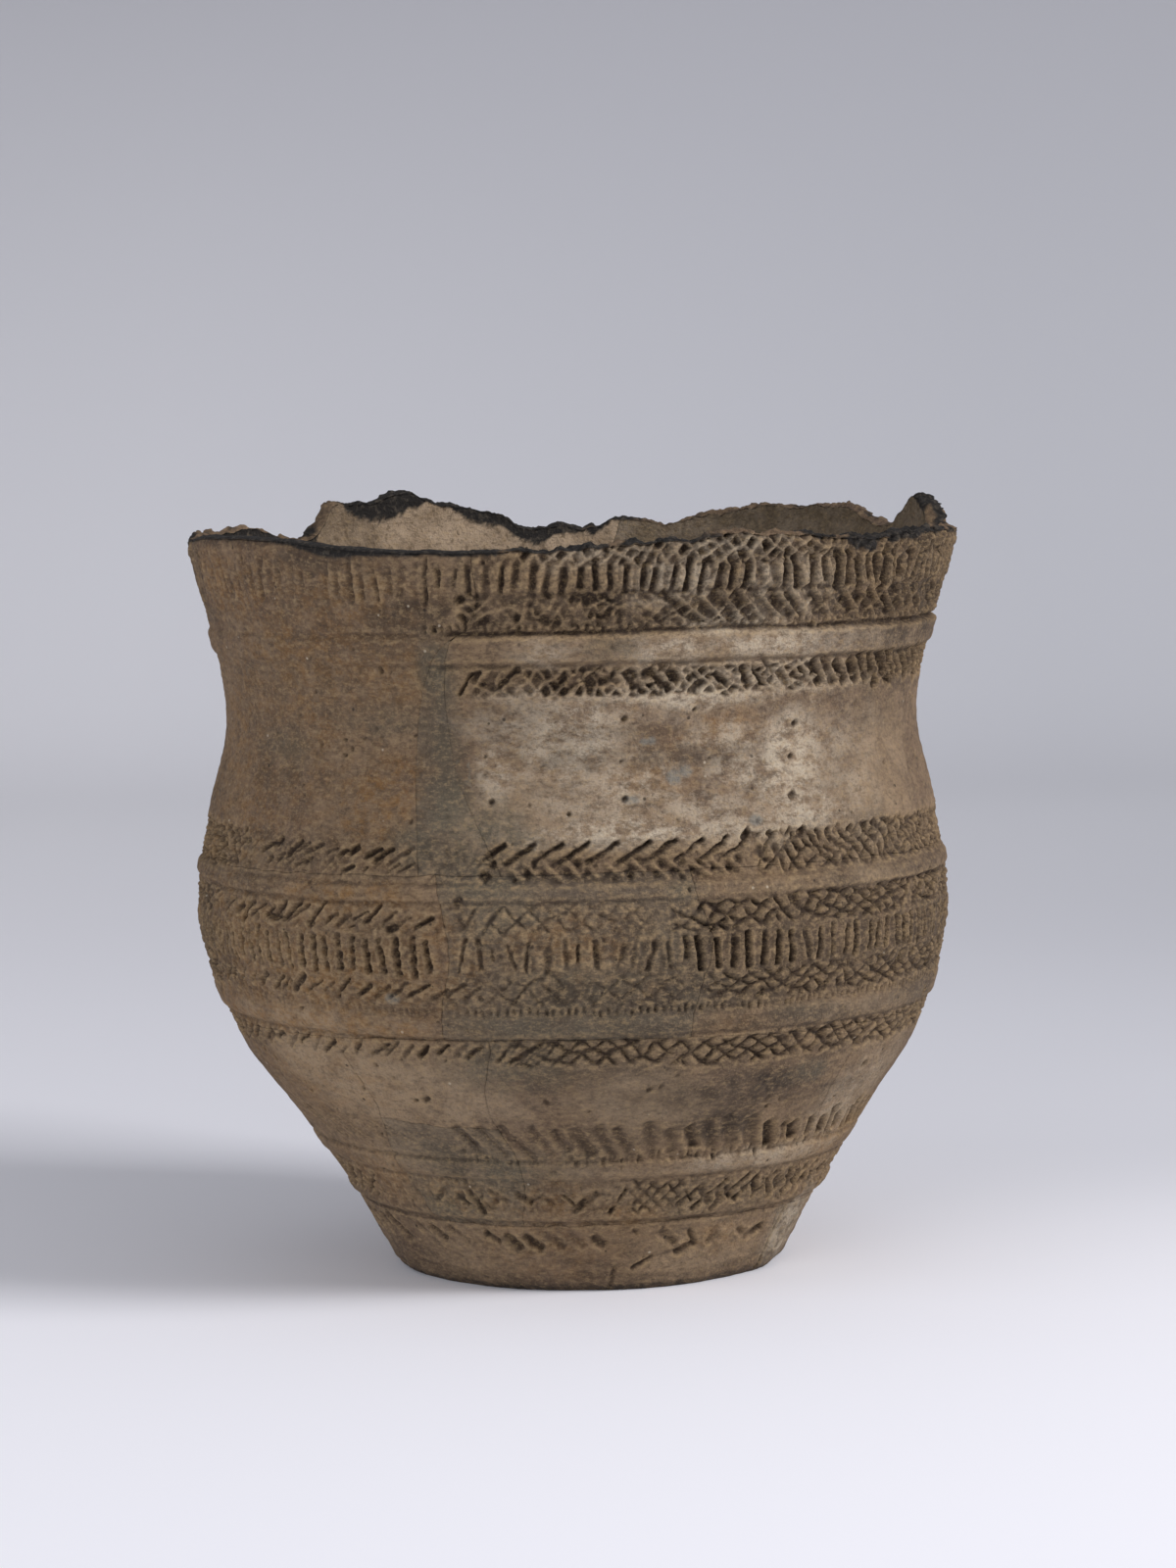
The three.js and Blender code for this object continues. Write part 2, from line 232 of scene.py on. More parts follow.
def band(low, high, first=-180, last=180, edge=1.0):
    """1 in a belt round the jar between two heights, from one angle to another, else 0."""
    turn, span = (ANGLE - first) % 360, last - first
    ends = smooth(0, 3, turn) * smooth(span, span - 3, turn) if span < 360 else 1
    level = HEIGHT + 0.5 * wander + 0.35 * ragged
    foot = smooth(low - edge / 2, low + edge / 2, level)
    return ends * foot * smooth(high + edge / 2, high - edge / 2, level)


def net(seed, first, last, height, pitch, length, tilt, depth, thread=0.75, **more):
    """Wide pressed marks side by side, with a thin thread of clay left standing between them."""
    strokes(seed, first, last, height, pitch, length, pitch * 0.6, tilt, depth, burr=0, **more)
    half = math.degrees(pitch / 2 / float(outline(height)))
    strokes(seed, first + half, last + half, height, pitch, length, thread, tilt, -0.05, burr=0, **more)


# The marks on the foot
# Slanted dents on the foot ring, a few gouges on its right, and the ridge at its top, where
# the wall sets off outwards.
relief += (0.45 * wander + 0.2 * ragged - 0.2) * smooth(17, 13, HEIGHT)
relief -= groove(16.0, 0.55, 1.3)
strokes(10, -42, 6, 12.0, 4.6, 5.0, 2.0, -50, 1.2, flat=2, loose=0.2)
strokes(11, 20, 46, 11.4, 5.3, 4.0, 2.4, -48, 1.0, burr=0.3, flat=2, loose=0.3)
strokes(13, 22, 46, 10.6, 6.3, 3.6, 1.8, 50, 0.9, burr=0.3, flat=2, loose=0.35)
strokes(12, 74, 314, 11.8, 5.0, 5.6, 2.4, -46, 1.0, burr=0.2, flat=2)
press(14, 6.5, 5.5, 1.2, 60, 0.9, burr=0.3, flat=2)
press(6, 3, 5, 1.3, 10, 0.8, burr=0.2, flat=2)
press(57.5, 8, 14, 0.9, 2, 1.7, burr=0.1)

# The marks on the lower wall
# A lattice between two scored lines, then slanted strokes: crisp on the right, smeared in the
# middle, and only brushed on the left.
relief -= groove(26.0, 0.3, 0.8)
relief -= groove(30.6, 0.5, 0.9)
relief -= 0.3 * band(18.3, 25.6, -34, 8)
strokes(20, -34, 8, 21.8, 4.2, 4.6, 1.2, 50, 0.8, burr=0.3, flat=3, loose=0.35)
strokes(21, -34, 8, 21.6, 4.6, 3.8, 1.0, -46, 0.7, burr=0.3, flat=3, loose=0.4)
crossed(22, 8, 23, 18.2, 25.4, ((2.9, 45, 0.8), (2.9, -45, 0.8)), -0.9, 0, 0.6)
strokes(24, 23, 305, 21.6, 4.9, 8.8, 1.2, 52, 0.9)
strokes(25, 23, 305, 21.4, 3.4, 3.4, 1.3, -34, 0.8, burr=0.2, loose=0.25)
strokes(26, 35, 92, 34.2, 3.9, 5.2, 2.3, -24, 1.5, burr=0.35, flat=2.2)
strokes(27, 92, 262, 34.6, 4.4, 6.2, 2.2, -26, 1.2, burr=0.3, flat=2.2)
strokes(28, -22, 3, 35.4, 4.8, 8.0, 2.6, -36, 0.7, burr=0.1, flat=2)
strokes(28, -22, 3, 35.2, 4.8, 7.0, 0.6, -36, 0.7, burr=0.3)
strokes(29, 0, 34, 35.2, 4.6, 8.0, 3.2, -24, 0.75, burr=0.2, flat=2)
strokes(30, -64, -38, 36.0, 1.9, 9.5, 0.7, -58, 0.25, burr=0.1)
strokes(31, -22, 60, 30.9, 1.8, 1.5, 0.9, 0, 0.5, loose=0.3)

# The marks on the belly
# From below: a lattice, a smoothed band with a line of comb teeth, a lattice, a row of upright
# slots and one more lattice, up to the cordon under the shoulder.
BELLY_SLOT = math.radians(2.5) * float(outline(75.6))
relief -= groove(58.3, 0.45, 0.9)
crossed(33, -12, 290, 52.4, 57.9, ((5.1, 57, 0.8), (5.0, -56, 0.8)), -1.1, -0.15, 1.8, 0.3)
strokes(32, -76, -6, 55.6, 4.0, 4.8, 0.9, 57, 0.95, loose=0.25)
strokes(36, -16, 290, 64.3, 1.6, 1.2, 0.7, 0, 0.6, burr=0.1)
strokes(36, -76, -16, 64.3, 1.6, 1.1, 0.7, 0, 0.3, burr=0)
crossed(38, 18, 290, 65.6, 71.4, ((5.2, 57, 0.85), (5.1, -57, 0.8)), -1.3, -0.2, 2.4, 0.45)
crossed(46, -19, 18, 65.6, 71.2, ((5.4, 50, 0.55), (5.6, -52, 0.55)), -0.5, 0, 1.3)
strokes(37, -76, -12, 68.2, 4.3, 5.2, 0.9, 58, 1.05, burr=0.2, loose=0.22)
relief -= 0.25 * band(71.5, 79.5, 20, 290)
strokes(41, 18.75, 35, 75.6, BELLY_SLOT, 7.6, 1.15, -4, 1.7, burr=0.45, flat=3, loose=0.13)
strokes(42, 36.25, 290, 75.8, BELLY_SLOT, 6.4, 1.2, -2, 1.3, burr=0.45, flat=3, loose=0.22)
strokes(50, -16.25, 18, 76.2, BELLY_SLOT, 6.2, 1.1, 4, 0.7, burr=0.3, loose=0.25)
strokes(40, -76.25, -19, 75.4, BELLY_SLOT, 7.2, 1.1, -2, 1.6, 2.4, burr=0.35, loose=0.1)
crossed(44, 13, 290, 80.2, 86.0, ((5.2, 57, 0.85), (5.3, -57, 0.8)), -1.35, -0.2, 2.4, 0.45)
crossed(48, -18, 13, 80.2, 86.0, ((5.2, 50, 0.6), (5.4, -50, 0.6)), -0.5, 0, 1.3)
strokes(43, -77, -20, 83.2, 3.7, 5.0, 0.9, 58, 1.05, burr=0.2, loose=0.22)
strokes(45, -76, -20, 81.6, 4.4, 3.0, 0.9, 52, 0.9, burr=0.2, loose=0.35)
relief -= groove(86.4, 0.5, 0.9)
strokes(51, -17, 14, 79.6, 3.9, 2.4, 2.6, 0, -0.22, burr=0, loose=0.3)
strokes(52, -15, 10, 73.5, 4.6, 2.2, 2.4, 0, -0.22, burr=0, loose=0.35)

# The marks on the shoulder
# Herringbone: deep slots over fine threads that lean the other way; on the right they close up
# into a dense net, and on the left they are half rubbed away.
relief -= groove(90.1, 0.35, 0.8)
relief -= 0.55 * band(90.6, 95.3, -13, 28)
strokes(54, -12, 27, 93.2, 4.3, 3.6, 1.2, 46, 1.2, burr=0, flat=2, loose=0.2)
strokes(54, -12, 27, 91.8, 2.9, 2.2, 0.9, 46, 1.0, burr=0, flat=2, loose=0.2)
strokes(53, -12, 28, 93.0, 4.3, 5.6, 0.9, -48, -0.1, burr=0, loose=0.1)
strokes(55, -12, 27, 96.3, 5.8, 7.6, 0.95, 57, 1.7, loose=0.06)
crossed(56, 27, 300, 90.6, 98.6, ((3.4, -42, 1.3), (4.6, 54, 0.6)), -1.4, -0.2, 2.6, 0.3)
strokes(57, 27, 300, 98.2, 2.6, 1.6, 1.2, 40, 1.4, burr=0.3, loose=0.35)
strokes(58, -74, -24, 96.2, 3.7, 4.4, 0.9, 60, 1.1, burr=0.2, loose=0.28)
strokes(59, -74, -24, 93.2, 3.4, 3.2, 0.8, 57, 0.8, burr=0.2, loose=0.35)
crossed(60, -23, -12, 91, 96.5, ((4.6, 40, 0.5), (4.6, -40, 0.5)), -0.45, 0)

# The marks on the neck and rim
# From below: a net of threads, a smoothed cordon, a scored line with teeth, long slanting
# threads, a row of upright slots and a crushed net under the broken edge.
RIM_SLOT = math.radians(2.25) * float(outline(151.2))
relief -= groove(133.6, 0.75, 1.1)
crossed(62, -17, 44, 127.6, 133.3, ((3.9, 54, 0.7), (3.3, -48, 0.6)), 0.05, -1.4, 3.2)
strokes(61, -16, 14, 131.0, 3.6, 3.6, 1.1, 54, 1.6, burr=0.4, loose=0.4)
strokes(63, 6, 44, 130.6, 3.2, 3.0, 1.2, -40, 1.6, burr=0.4, loose=0.4)
relief -= 0.35 * band(128, 133.2, 42, 285)
net(64, 42, 285, 130.4, 3.7, 7.6, -42, 1.5, 0.7, loose=0.16)
strokes(64, 42, 285, 129.6, 3.9, 2.6, 0.5, 50, -0.2, burr=0, loose=0.3)
relief -= groove(140.3, 0.35, 1.2, -85, -22) + groove(140.3, 1.5, 1.1, -21, 275)
relief += 0.25 * groove(139.1, 1, 0.9, -20, 275)
crossed(66, -17, 9, 141.6, 148.2, ((3.5, 52, 0.8), (3.7, -50, 0.6)), 0, -1.3, 4.2)
strokes(67, -16, 8, 147.4, 2.9, 1.8, 1.7, 50, 1.6, burr=0.3, flat=2, loose=0.35)
strokes(71, -16, 8, 143.2, 3.6, 2.2, 1.2, -50, 1.3, burr=0.3, flat=2, loose=0.5)
crossed(68, 8, 18, 141.6, 148.2, ((3.8, -52, 0.65), (5.6, 58, 0.4)), 0.05, -1.4, 1.3)
relief -= 0.4 * band(141.8, 148.2, 15, 285)
net(69, 16, 285, 144.8, 4.5, 8.4, -50, 1.3, 0.6, loose=0.13)
strokes(68, 14, 285, 144.4, 5.4, 6.0, 0.45, 50, 0.15, burr=0, loose=0.3)
relief -= groove(147.0, 0.7, 2.0, -2, 16)
strokes(65, -22, 285, 141.3, 1.75, 1.7, 0.9, 0, 0.9, burr=0.1)
relief -= groove(148.1, 0.9, 1.3, -14, 45)
crossed(70, -16, 285, 153.8, 168, ((3.4, 50, 0.8), (3.8, -50, 0.6)), 0.1, -1.2, 3.2)
relief -= 0.25 * band(148.6, 154, -16, 285)
strokes(77, -21.375, -15, 151.4, RIM_SLOT, 6.6, 1.0, 4, 1.0, burr=0.2, loose=0.2)
strokes(72, -14.625, 28, 151.2, RIM_SLOT, 5.6, 1.5, 5, 1.8, burr=0.5, flat=3)
strokes(73, 28.125, 60, 151.4, RIM_SLOT, 7.2, 1.7, -16, 1.6, burr=0.5, flat=3, loose=0.2)
strokes(74, 59.625, 277, 151.2, RIM_SLOT, 6.6, 1.3, 0, 1.3, burr=0.5, flat=3, loose=0.14)
strokes(75, -84.375, -22, 151.0, RIM_SLOT, 8.2, 1.3, 3, -0.4, burr=0, flat=2, loose=0.2)
strokes(76, -83.25, -22, 151.0, RIM_SLOT, 7.0, 1.2, 3, 0.7, burr=0, flat=2, loose=0.2)

# The worn surface
# The marks' edges have crumbled, and the left of the neck is rubbed almost flat. Lumps and
# streaks are left by the wiping hand, and pits where grit fell out.
crumble_across, crumble_up = grain(7, 1.7), grain(8, 1.7)
relief = sample(
    relief,
    ANGLE + np.degrees((0.18 * crumble_across + 0.15 * fine) / MEAN_RADIUS),
    HEIGHT + 0.18 * crumble_up - 0.15 * np.roll(fine, 400, 1),
)
relief *= 1 + 0.4 * ragged
relief *= 1 - 0.6 * patch(-62, 150, 56, 9, 0.4)
relief *= 1 - 0.88 * patch(-66, 128, 60, 17, 0.25)
churned = band(17, 26, -34, 330) + band(53, 58) + band(65, 86) + band(91, 99) + band(128, 133)
churned = np.clip(churned + band(141, 164), 0, 1) * (1 - 0.6 * patch(-62, 130, 60, 32, 0.3))
crumbs = grain(9, 0.8)
relief += churned * (0.22 * fine + 0.18 * ragged + 0.16 * crumbs - 0.1)
relief += 0.25 * band(153.5, 164, -18, 285) * (fine + ragged - 0.4)
relief += 0.1 * grain(4, 12, 1.2) + 0.06 * ragged + 0.03 * fine + 0.18 * wander - 0.08
grit = np.random.default_rng(5)
PITS = 1100
for _ in range(PITS):
    pit = 0.3 + min(grit.exponential(0.18), 0.9)
    angle, height, length = grit.uniform(-180, 180), grit.uniform(1, 160), pit * grit.uniform(1, 2)
    press(angle, height, length, pit, grit.uniform(20, 160), grit.uniform(0.3, 0.9), burr=0)
for angle, height, pit in (
    (8.3, 122.8, 1.0), (38.1, 120.3, 1.1), (37, 113.6, 1.0), (36.1, 105.8, 1.4),
    (-12.1, 106.6, 1.0), (-0.3, 104, 0.8), (8.2, 106.8, 1.0), (-16.5, 87, 1.6), (57, 47, 1.2),
):
    press(angle, height, pit * 1.3, pit, 60, 1.1, burr=0, flat=2)
DEEPEST_MARK, HIGHEST_BURR = -2.0, 0.14
relief = np.clip(relief, DEEPEST_MARK, HIGHEST_BURR)


def blur(field, reach):
    """The field smoothed over about that many millimetres."""
    fx = np.fft.rfftfreq(COLUMNS, 2 * math.pi * MEAN_RADIUS / COLUMNS)
    fy = np.fft.fftfreq(ROWS, ROW_MM)[:, None]
    keep = np.exp(-(fx**2 + fy**2) * 2 * (math.pi * reach) ** 2)
    return np.fft.irfft2(np.fft.rfft2(field) * keep, (ROWS, COLUMNS))


# Painted shade and dirt: how far each point lies below the relief round it, so that the hollows of the
# marks and the scored line with teeth on the neck are darkened in colour.
hollow_shade_and_dirt = np.clip((0.6 * blur(relief, 1.3) + 0.4 * blur(relief, 4) - relief) / 0.75, 0, 1)
hollow_shade_and_dirt = np.maximum(hollow_shade_and_dirt, groove(140.3, 1, 1.0, -20, 275))
# Painted highlight: how far each point stands above the relief close round it, so that the crests of the
# marks are lightened in colour.
edge = np.clip((relief - blur(relief, 0.7)) / 0.24, 0, 1)

# The stains and painted shade
# Pale lime bloom on the neck, rust on the left and on the fills, paler tan where the clay is
# rubbed bare, grey smears of plaster along the joins, and soot on the right, with painted shade
# and dirt laid in with the soot: over the sunk, marked belts, along the foot's lower edge and in
# the recess under the neck's scored line. Each row is an angle, a height, a half width, a half
# height and a strength.
def blots(rows, edge=0.7):
    """A stain made of blots, the strongest of them at each place."""
    stain = np.zeros((ROWS, COLUMNS))
    for angle, height, wide, tall, much in rows:
        stain = np.maximum(stain, much * patch(angle, height, wide, tall, edge))
    return stain


pale = blots((
    (-8, 116, 8, 6, 0.55), (2, 118, 11, 7, 1.0), (9, 111, 12, 8, 0.8), (20, 104, 12, 5, 0.7),
    (36, 112, 9, 12, 1.0), (12, 100.5, 24, 3, 1.0), (26, 99.5, 12, 1.5, 0.9), (38, 102, 12, 3, 1.0),
    (0, 122, 24, 5, 0.7), (16, 151, 12, 6, 0.8), (20, 127, 20, 3, 1.0), (24, 157, 14, 4, 0.9),
    (28, 150, 6, 6, 0.8), (28, 130, 24, 5, 0.7), (16, 136.5, 9, 3, 0.8), (24, 142, 12, 4, 0.9),
    (46, 110, 12, 12, 0.4), (30, 137, 16, 3, 0.9), (44, 137, 14, 3, 0.4), (66, 9, 7, 8, 0.9),
    (40, 29, 16, 2, 0.5), (58, 42, 12, 9, 0.35), (-4, 136, 8, 3, 0.5), (6, 156, 10, 3, 0.6),
    (25, 118, 12, 4, 0.8), (27, 112, 8, 4, 0.8), (-12, 113, 4, 6, 0.8), (34, 150, 12, 7, 0.5),
    (2, 105, 10, 5, 0.5), (-6, 126.5, 10, 3, 0.5), (128, 108, 40, 13, 0.7),
    (-152, 112, 34, 10, 0.6), (160, 135, 26, 6, 0.5),
))
rust = blots((
    (-44, 120, 15, 9, 0.8), (-31, 106, 12, 9, 1.0), (-27, 113, 8, 5, 0.9), (-56, 101, 14, 8, 0.9),
    (-60, 78, 20, 10, 1.0), (-38, 70, 22, 9, 1.0), (-36, 87, 18, 3.5, 1.0), (-2, 79, 14, 6, 0.6),
    (6, 71, 14, 4, 0.5), (-60, 75, 40, 20, 0.7), (-55, 120, 44, 30, 0.6), (-52, 150, 40, 9, 0.5),
    (26, 121, 8, 3, 0.7), (-52, 68, 30, 5, 0.7), (-30, 22, 9, 4, 0.9), (-8, 22, 8, 4, 0.8),
    (9, 18, 7, 3, 0.7), (-46, 60, 28, 4, 1.0), (-62, 149, 24, 8, 0.9), (-34, 147, 18, 7, 0.9),
    (-44, 136, 28, 6, 0.85), (-28, 133, 12, 8, 0.8), (-40, 46, 12, 6, 0.4), (30, 92, 20, 5, 0.3),
    (12, 112, 10, 4, 0.6), (16, 118, 10, 3, 0.5), (24, 60, 8, 2.5, 0.6), (62, 30, 14, 4, 0.5),
    (34, 11, 8, 3, 0.6), (-70, 116, 16, 16, 0.8), (-74, 92, 30, 22, 0.85), (-70, 60, 14, 12, 0.8),
    (-58, 44, 20, 8, 0.5), (-20, 76, 10, 12, 0.6), (-8, 12, 16, 8, 0.4), (-50, 25, 16, 6, 0.5),
    (-34, 96, 12, 4, 0.5), (-120, 80, 50, 22, 0.6), (150, 90, 40, 12, 0.5), (-150, 30, 40, 10, 0.5),
    (110, 30, 30, 10, 0.4),
))
tan = blots((
    (-38, 47, 24, 9, 1.0), (-50, 52, 12, 5, 1.0), (-22, 44, 16, 6, 0.8), (-30, 30, 20, 5, 0.7),
    (-12, 24, 20, 6, 0.5), (50, 28.5, 16, 2.5, 1.0), (30, 8, 12, 6, 0.6), (-28, 10, 12, 6, 0.35),
    (62, 42, 12, 8, 0.8), (58, 104, 16, 14, 0.6), (46, 88, 26, 2, 0.8), (50, 61, 26, 2, 0.9),
    (12, 45, 16, 7, 0.8), (30, 97, 14, 4, 0.5), (-48, 61, 22, 2, 0.9), (-30, 28.5, 14, 1.6, 0.6),
    (-60, 92, 14, 6, 0.4), (10, 28, 18, 1.4, 0.6), (60, 136, 14, 3, 0.7), (-10, 102, 14, 6, 0.8),
    (180, 104, 60, 14, 0.6), (140, 45, 40, 8, 0.7), (-140, 60, 30, 6, 0.6),
))
grey = blots((
    (-20.5, 118, 4.5, 6, 0.9), (-21, 131, 4, 9, 0.9), (-19, 106, 6, 8, 1.0), (-24, 98, 5, 5, 0.9),
    (-14, 98, 10, 7, 1.0), (-13, 90, 8, 4, 0.9), (-11, 53, 11, 5, 0.8), (-30, 31, 7, 4, 0.6),
    (-18, 28, 12, 5, 0.8), (-34, 20, 9, 4, 0.7), (41, 48, 7, 2.4, 1.0), (2, 69, 12, 4, 0.8),
    (20, 67, 14, 5, 0.7), (5, 61.5, 26, 3, 0.7), (-10, 84, 8, 4, 0.7), (14, 74, 6, 6, 0.6),
    (70, 62, 14, 14, 0.3), (28, 21, 20, 4, 0.4), (-52, 116, 10, 4, 0.6), (-30, 122, 14, 3, 0.6),
    (-5, 32, 10, 3, 0.5), (17, 88, 4, 2, 0.8), (36, 62, 7, 2, 0.7), (6, 137, 5, 2, 0.6),
))
# Soot from the fire, with painted shade among it: the three blots at 8° between 143 and 147 mm darken
# the recess under the neck's scored line, where shade falls.
soot_dirt_and_shade = blots((
    (30, 46.5, 15, 5, 1.0), (48, 43, 18, 2.5, 0.4), (64, 152, 26, 12, 1.0), (34, 160, 40, 3.5, 0.8),
    (72, 76, 26, 13, 0.8), (66, 62, 20, 4, 0.6), (66, 132, 18, 6, 0.7), (40, 60, 30, 3, 0.6),
    (-50, 161, 40, 3, 0.8), (-40, 155, 14, 3, 0.7), (50, 145, 24, 5, 0.6), (8, 147, 24, 2, 0.8),
    (60, 130, 22, 5, 0.5), (20, 75, 16, 7, 0.5), (60, 76, 22, 12, 0.55), (12, 115, 20, 3, 0.6),
    (8, 120, 16, 2, 0.5), (-30, 66, 12, 3, 0.4), (56, 95, 22, 5, 0.55), (-54, 110, 14, 4, 0.5),
    (-56, 88, 10, 4, 0.7), (26, 92, 16, 3, 0.4), (8, 37, 20, 3, 0.4), (40, 53, 18, 3, 0.6),
    (-2, 49, 12, 3, 0.4), (100, 150, 30, 9, 0.6), (-110, 156, 40, 8, 0.6), (160, 60, 34, 16, 0.6),
    (180, 152, 30, 6, 0.5), (-100, 50, 30, 8, 0.5), (110, 66, 24, 8, 0.5), (-60, 78, 34, 14, 0.3),
    (-34, 74, 16, 10, 0.4), (-28, 31, 10, 5, 0.5), (-48, 96, 36, 5, 0.6), (-30, 139, 14, 6, 0.4),
    (-10, 122, 10, 5, 0.4), (-48, 124, 40, 24, 0.3), (-78, 90, 26, 22, 0.55),
    (-21, 118, 5, 12, 0.4), (-24, 144, 12, 5, 0.8), (-40, 150, 30, 7, 0.4), (46, 76, 40, 13, 0.85),
    (20, 67, 30, 5, 0.8), (44, 151, 9, 7, 1.0), (62, 137, 14, 3, 0.5), (34, 60, 34, 3, 0.75),
    (26, 38, 8, 4, 0.9), (70, 148, 34, 14, 1.0), (8, 143, 10, 3, 0.9), (26, 46, 26, 5, 0.5),
    (50, 94, 34, 6, 0.6), (22, 54, 34, 5, 0.65), (60, 122, 14, 4, 0.3), (8, 146.5, 9, 2.5, 1.0),
    (70, 88, 26, 3, 0.5), (20, 150, 5, 7, 0.6),
))
stone = blots((
    (9.1, 106.6, 2.0, 1.0, 1), (16, 110.9, 1.6, 1.5, 1), (18.1, 111.9, 1.4, 1.1, 1),
    (12.7, 118.3, 1.3, 1.3, 1), (11.5, 118.1, 1.2, 1, 1), (29, 101.5, 1.5, 1, 1),
    (-28, 66.5, 1.6, 1, 1),
), 0.3)
# Painted shade with dirt: darker over the sunk, marked belts, where the marks shade each other, and
# along the foot's lower edge, where the shade under the jar falls.
shade_and_dirt = 0 * HEIGHT
for low, high, first, last, much in (
    (141, 164, -18, 290, 0.6), (127.5, 133.5, -16, 290, 0.15), (90.5, 99, -14, 300, 0.35),
    (65, 86.5, 16, 300, 0.7), (52, 58.5, 0, 300, 0.35), (18, 26, -20, 300, 0.15),
    (-3, 1.4, -180, 180, 0.9), (-3, 4, -180, 180, 0.3),
):
    shade_and_dirt = shade_and_dirt + much * band(low, high, first, last)
soot_dirt_and_shade = np.maximum(soot_dirt_and_shade, shade_and_dirt * (1 + 0.5 * wander))

# The breaks
# Where the jar came apart: round it along the coil joins, and up it at random. Two pieces that
# meet share one line. Angles in degrees, heights in millimetres.
def break_round(height, swing, waves, start):
    """A break round the jar, about level: its height at each angle."""
    return lambda angle: (
        height
        + swing * np.sin(np.radians(waves * angle + start))
        + 0.3 * sample(ragged, angle, height + 0 * angle)
    )


def break_up(angle, swing, length, start):
    """A break up the jar: its angle at each height."""
    return lambda height: (
        angle
        + swing * np.sin(2 * math.pi * height / length + start)
        + 0.3 * sample(ragged, angle + 0 * height, height)
    )


ground = lambda angle: 0 * angle
foot_break = break_round(15.4, 0.4, 3, 20)
lower_fill_top = break_round(39, 0.9, 5, 0)
lower_break = break_round(57.6, 0.8, 3, 100)
shoulder_break = break_round(91.6, 0.7, 2, 60)
neck_fill_top = break_round(139.2, 0, 1, 0)
worn_rim = curve(
    (-151, 9), (-146, 7.4), (-141, 6.3), (-135, 5.7), (-133, 2), (-130, -1), (-124, -0.4),
    (-114, 2), (-104, 1.7), (-95, 0.4), (-80, 1.0), (-68, 1.9), (-59, 2.1), (-46, 1.7), (-40, 0.9),
    (-35, 0.2), (-28, -0.3), (-14, -0.7), (2, -0.3), (9, 0.6), (16, 1.4), (22, 2.1), (31, 1.8),
    (40, 0.8), (50, 0.4), (65, 1.2), (80, 0.7), (93, 0.2), (97.5, 1.4), (100.5, 5.6), (105, 6.6),
    (107.5, 5.9), (110.5, 3.0), (114, 0.4), (118, 0.3), (122, 1.7), (126, 3.4), (133, 4.2),
    (144, 4), (151, 3.1), (157, 2.4), (163, 0.2), (168, 1.2), (172, 1), (177, -0.6), (183, 0),
    (188, -0.2), (190, 0.8), (192.3, 3.2), (197, 4.4), (204, 5.9), (209, 9),
)


def rubbed(angle):
    """1 on the front left, where the broken edge is worn smooth, else 0."""
    return smooth(42, 26, np.abs((angle + 44 + 180) % 360 - 180))


def rim(angle):
    """The broken upper edge: no finished rim is left, and it runs up and down all the way round."""
    crumbly = 1 - 0.9 * rubbed(angle)
    chips = sample(ragged, angle, 20 + 0 * angle) * 0.7 + sample(fine, angle, 40 + 0 * angle) * 0.25
    return RIM_HEIGHT + worn_rim((angle + 151) % 360 - 151) + crumbly * chips - 0.4


# How far the black of the broken edge runs down the wall, outside and inside, at each angle.
char_outside = curve(
    (-180, 1), (-120, 0.6), (-90, 0.4), (-72, 0.6), (-50, 0.5), (-42, 1.2), (-36, 2.2), (-30, 1.2),
    (-14, 0.8), (-10, 0.6), (-8, -0.2), (10, -0.5), (19, -0.6), (21, 0.5), (24, -0.8), (35.5, -0.7),
    (38, 1.5), (40.5, -0.3), (43, 0.6), (45, 2.6), (49, 2.4), (52, 0.6), (54, 1.6), (60, 1.1),
    (66, 0.2), (74, 0.4), (80, 0.5), (98, 0), (102, 1), (105, 5), (112, 5), (117, 0), (180, 1),
)
char_inside = curve(
    (-180, 1.2), (-174, 3), (-166, 2.6), (-160, 2.2), (-157, 0.2), (-154, 1), (-151, 4.2),
    (-146, 4.6), (-142, 4), (-138, 0.6), (-134, -1), (-130, 1), (-90, 1), (-20, 1.5), (20, 0.8),
    (60, 1.5), (84, 0), (98, 0), (101, 1.6), (103.5, 1.4), (106, -0.8), (118, -1), (140, -1),
    (165, -1), (174, 0.6), (180, 1.2),
)


def smoke_and_shade(angle):
    """A brown smoke stain inside the rim at the back left, and painted shade over the inner wall on its
    right, at each angle.
    """
    back_left = smooth(13, 6, np.abs(angle + 136))
    return np.maximum(0.5 * back_left, 0.35 * smooth(80, 100, angle) * smooth(178, 165, angle))


char_top = curve(
    (-180, 0.9), (-141, 1), (-136, 0.3), (-126, 0.15), (-98, 0.2), (-84, 0.6), (-66, 1.4),
    (-16, 1.4), (-12, 1.2), (-9, 0.5), (-6, 0.9), (4, 0.9), (6, 0.4), (8, 0.9), (21, 0.9),
    (25, 0.1), (34, 0.1), (37, 1.0), (40, 0.6), (43, 0.6), (46, 1.2), (50, 0.9), (57, 1.1),
    (60, 0.7), (66, 0.9), (72, 0.5), (78, 0.9), (84, 0.4), (92, 0.5), (98, 0.4), (100, 0.9),
    (103, 1.3), (106, 1.0), (108, 0.35), (118, 0.3), (166, 0.3), (174, 0.6), (180, 0.9),
)


# The grid's steps outside and inside, and half the join that is left between two pieces. Then
# the highest point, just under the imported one's, and how far in and up the foot's edge tucks.
PITCH_OUTSIDE, PITCH_INSIDE, HAIRLINE = 0.36, 1.5, 0.03
HIGHEST_POINT, UNDERCUT, UNDERCUT_HEIGHT = 166.8, 1.2, 2.0


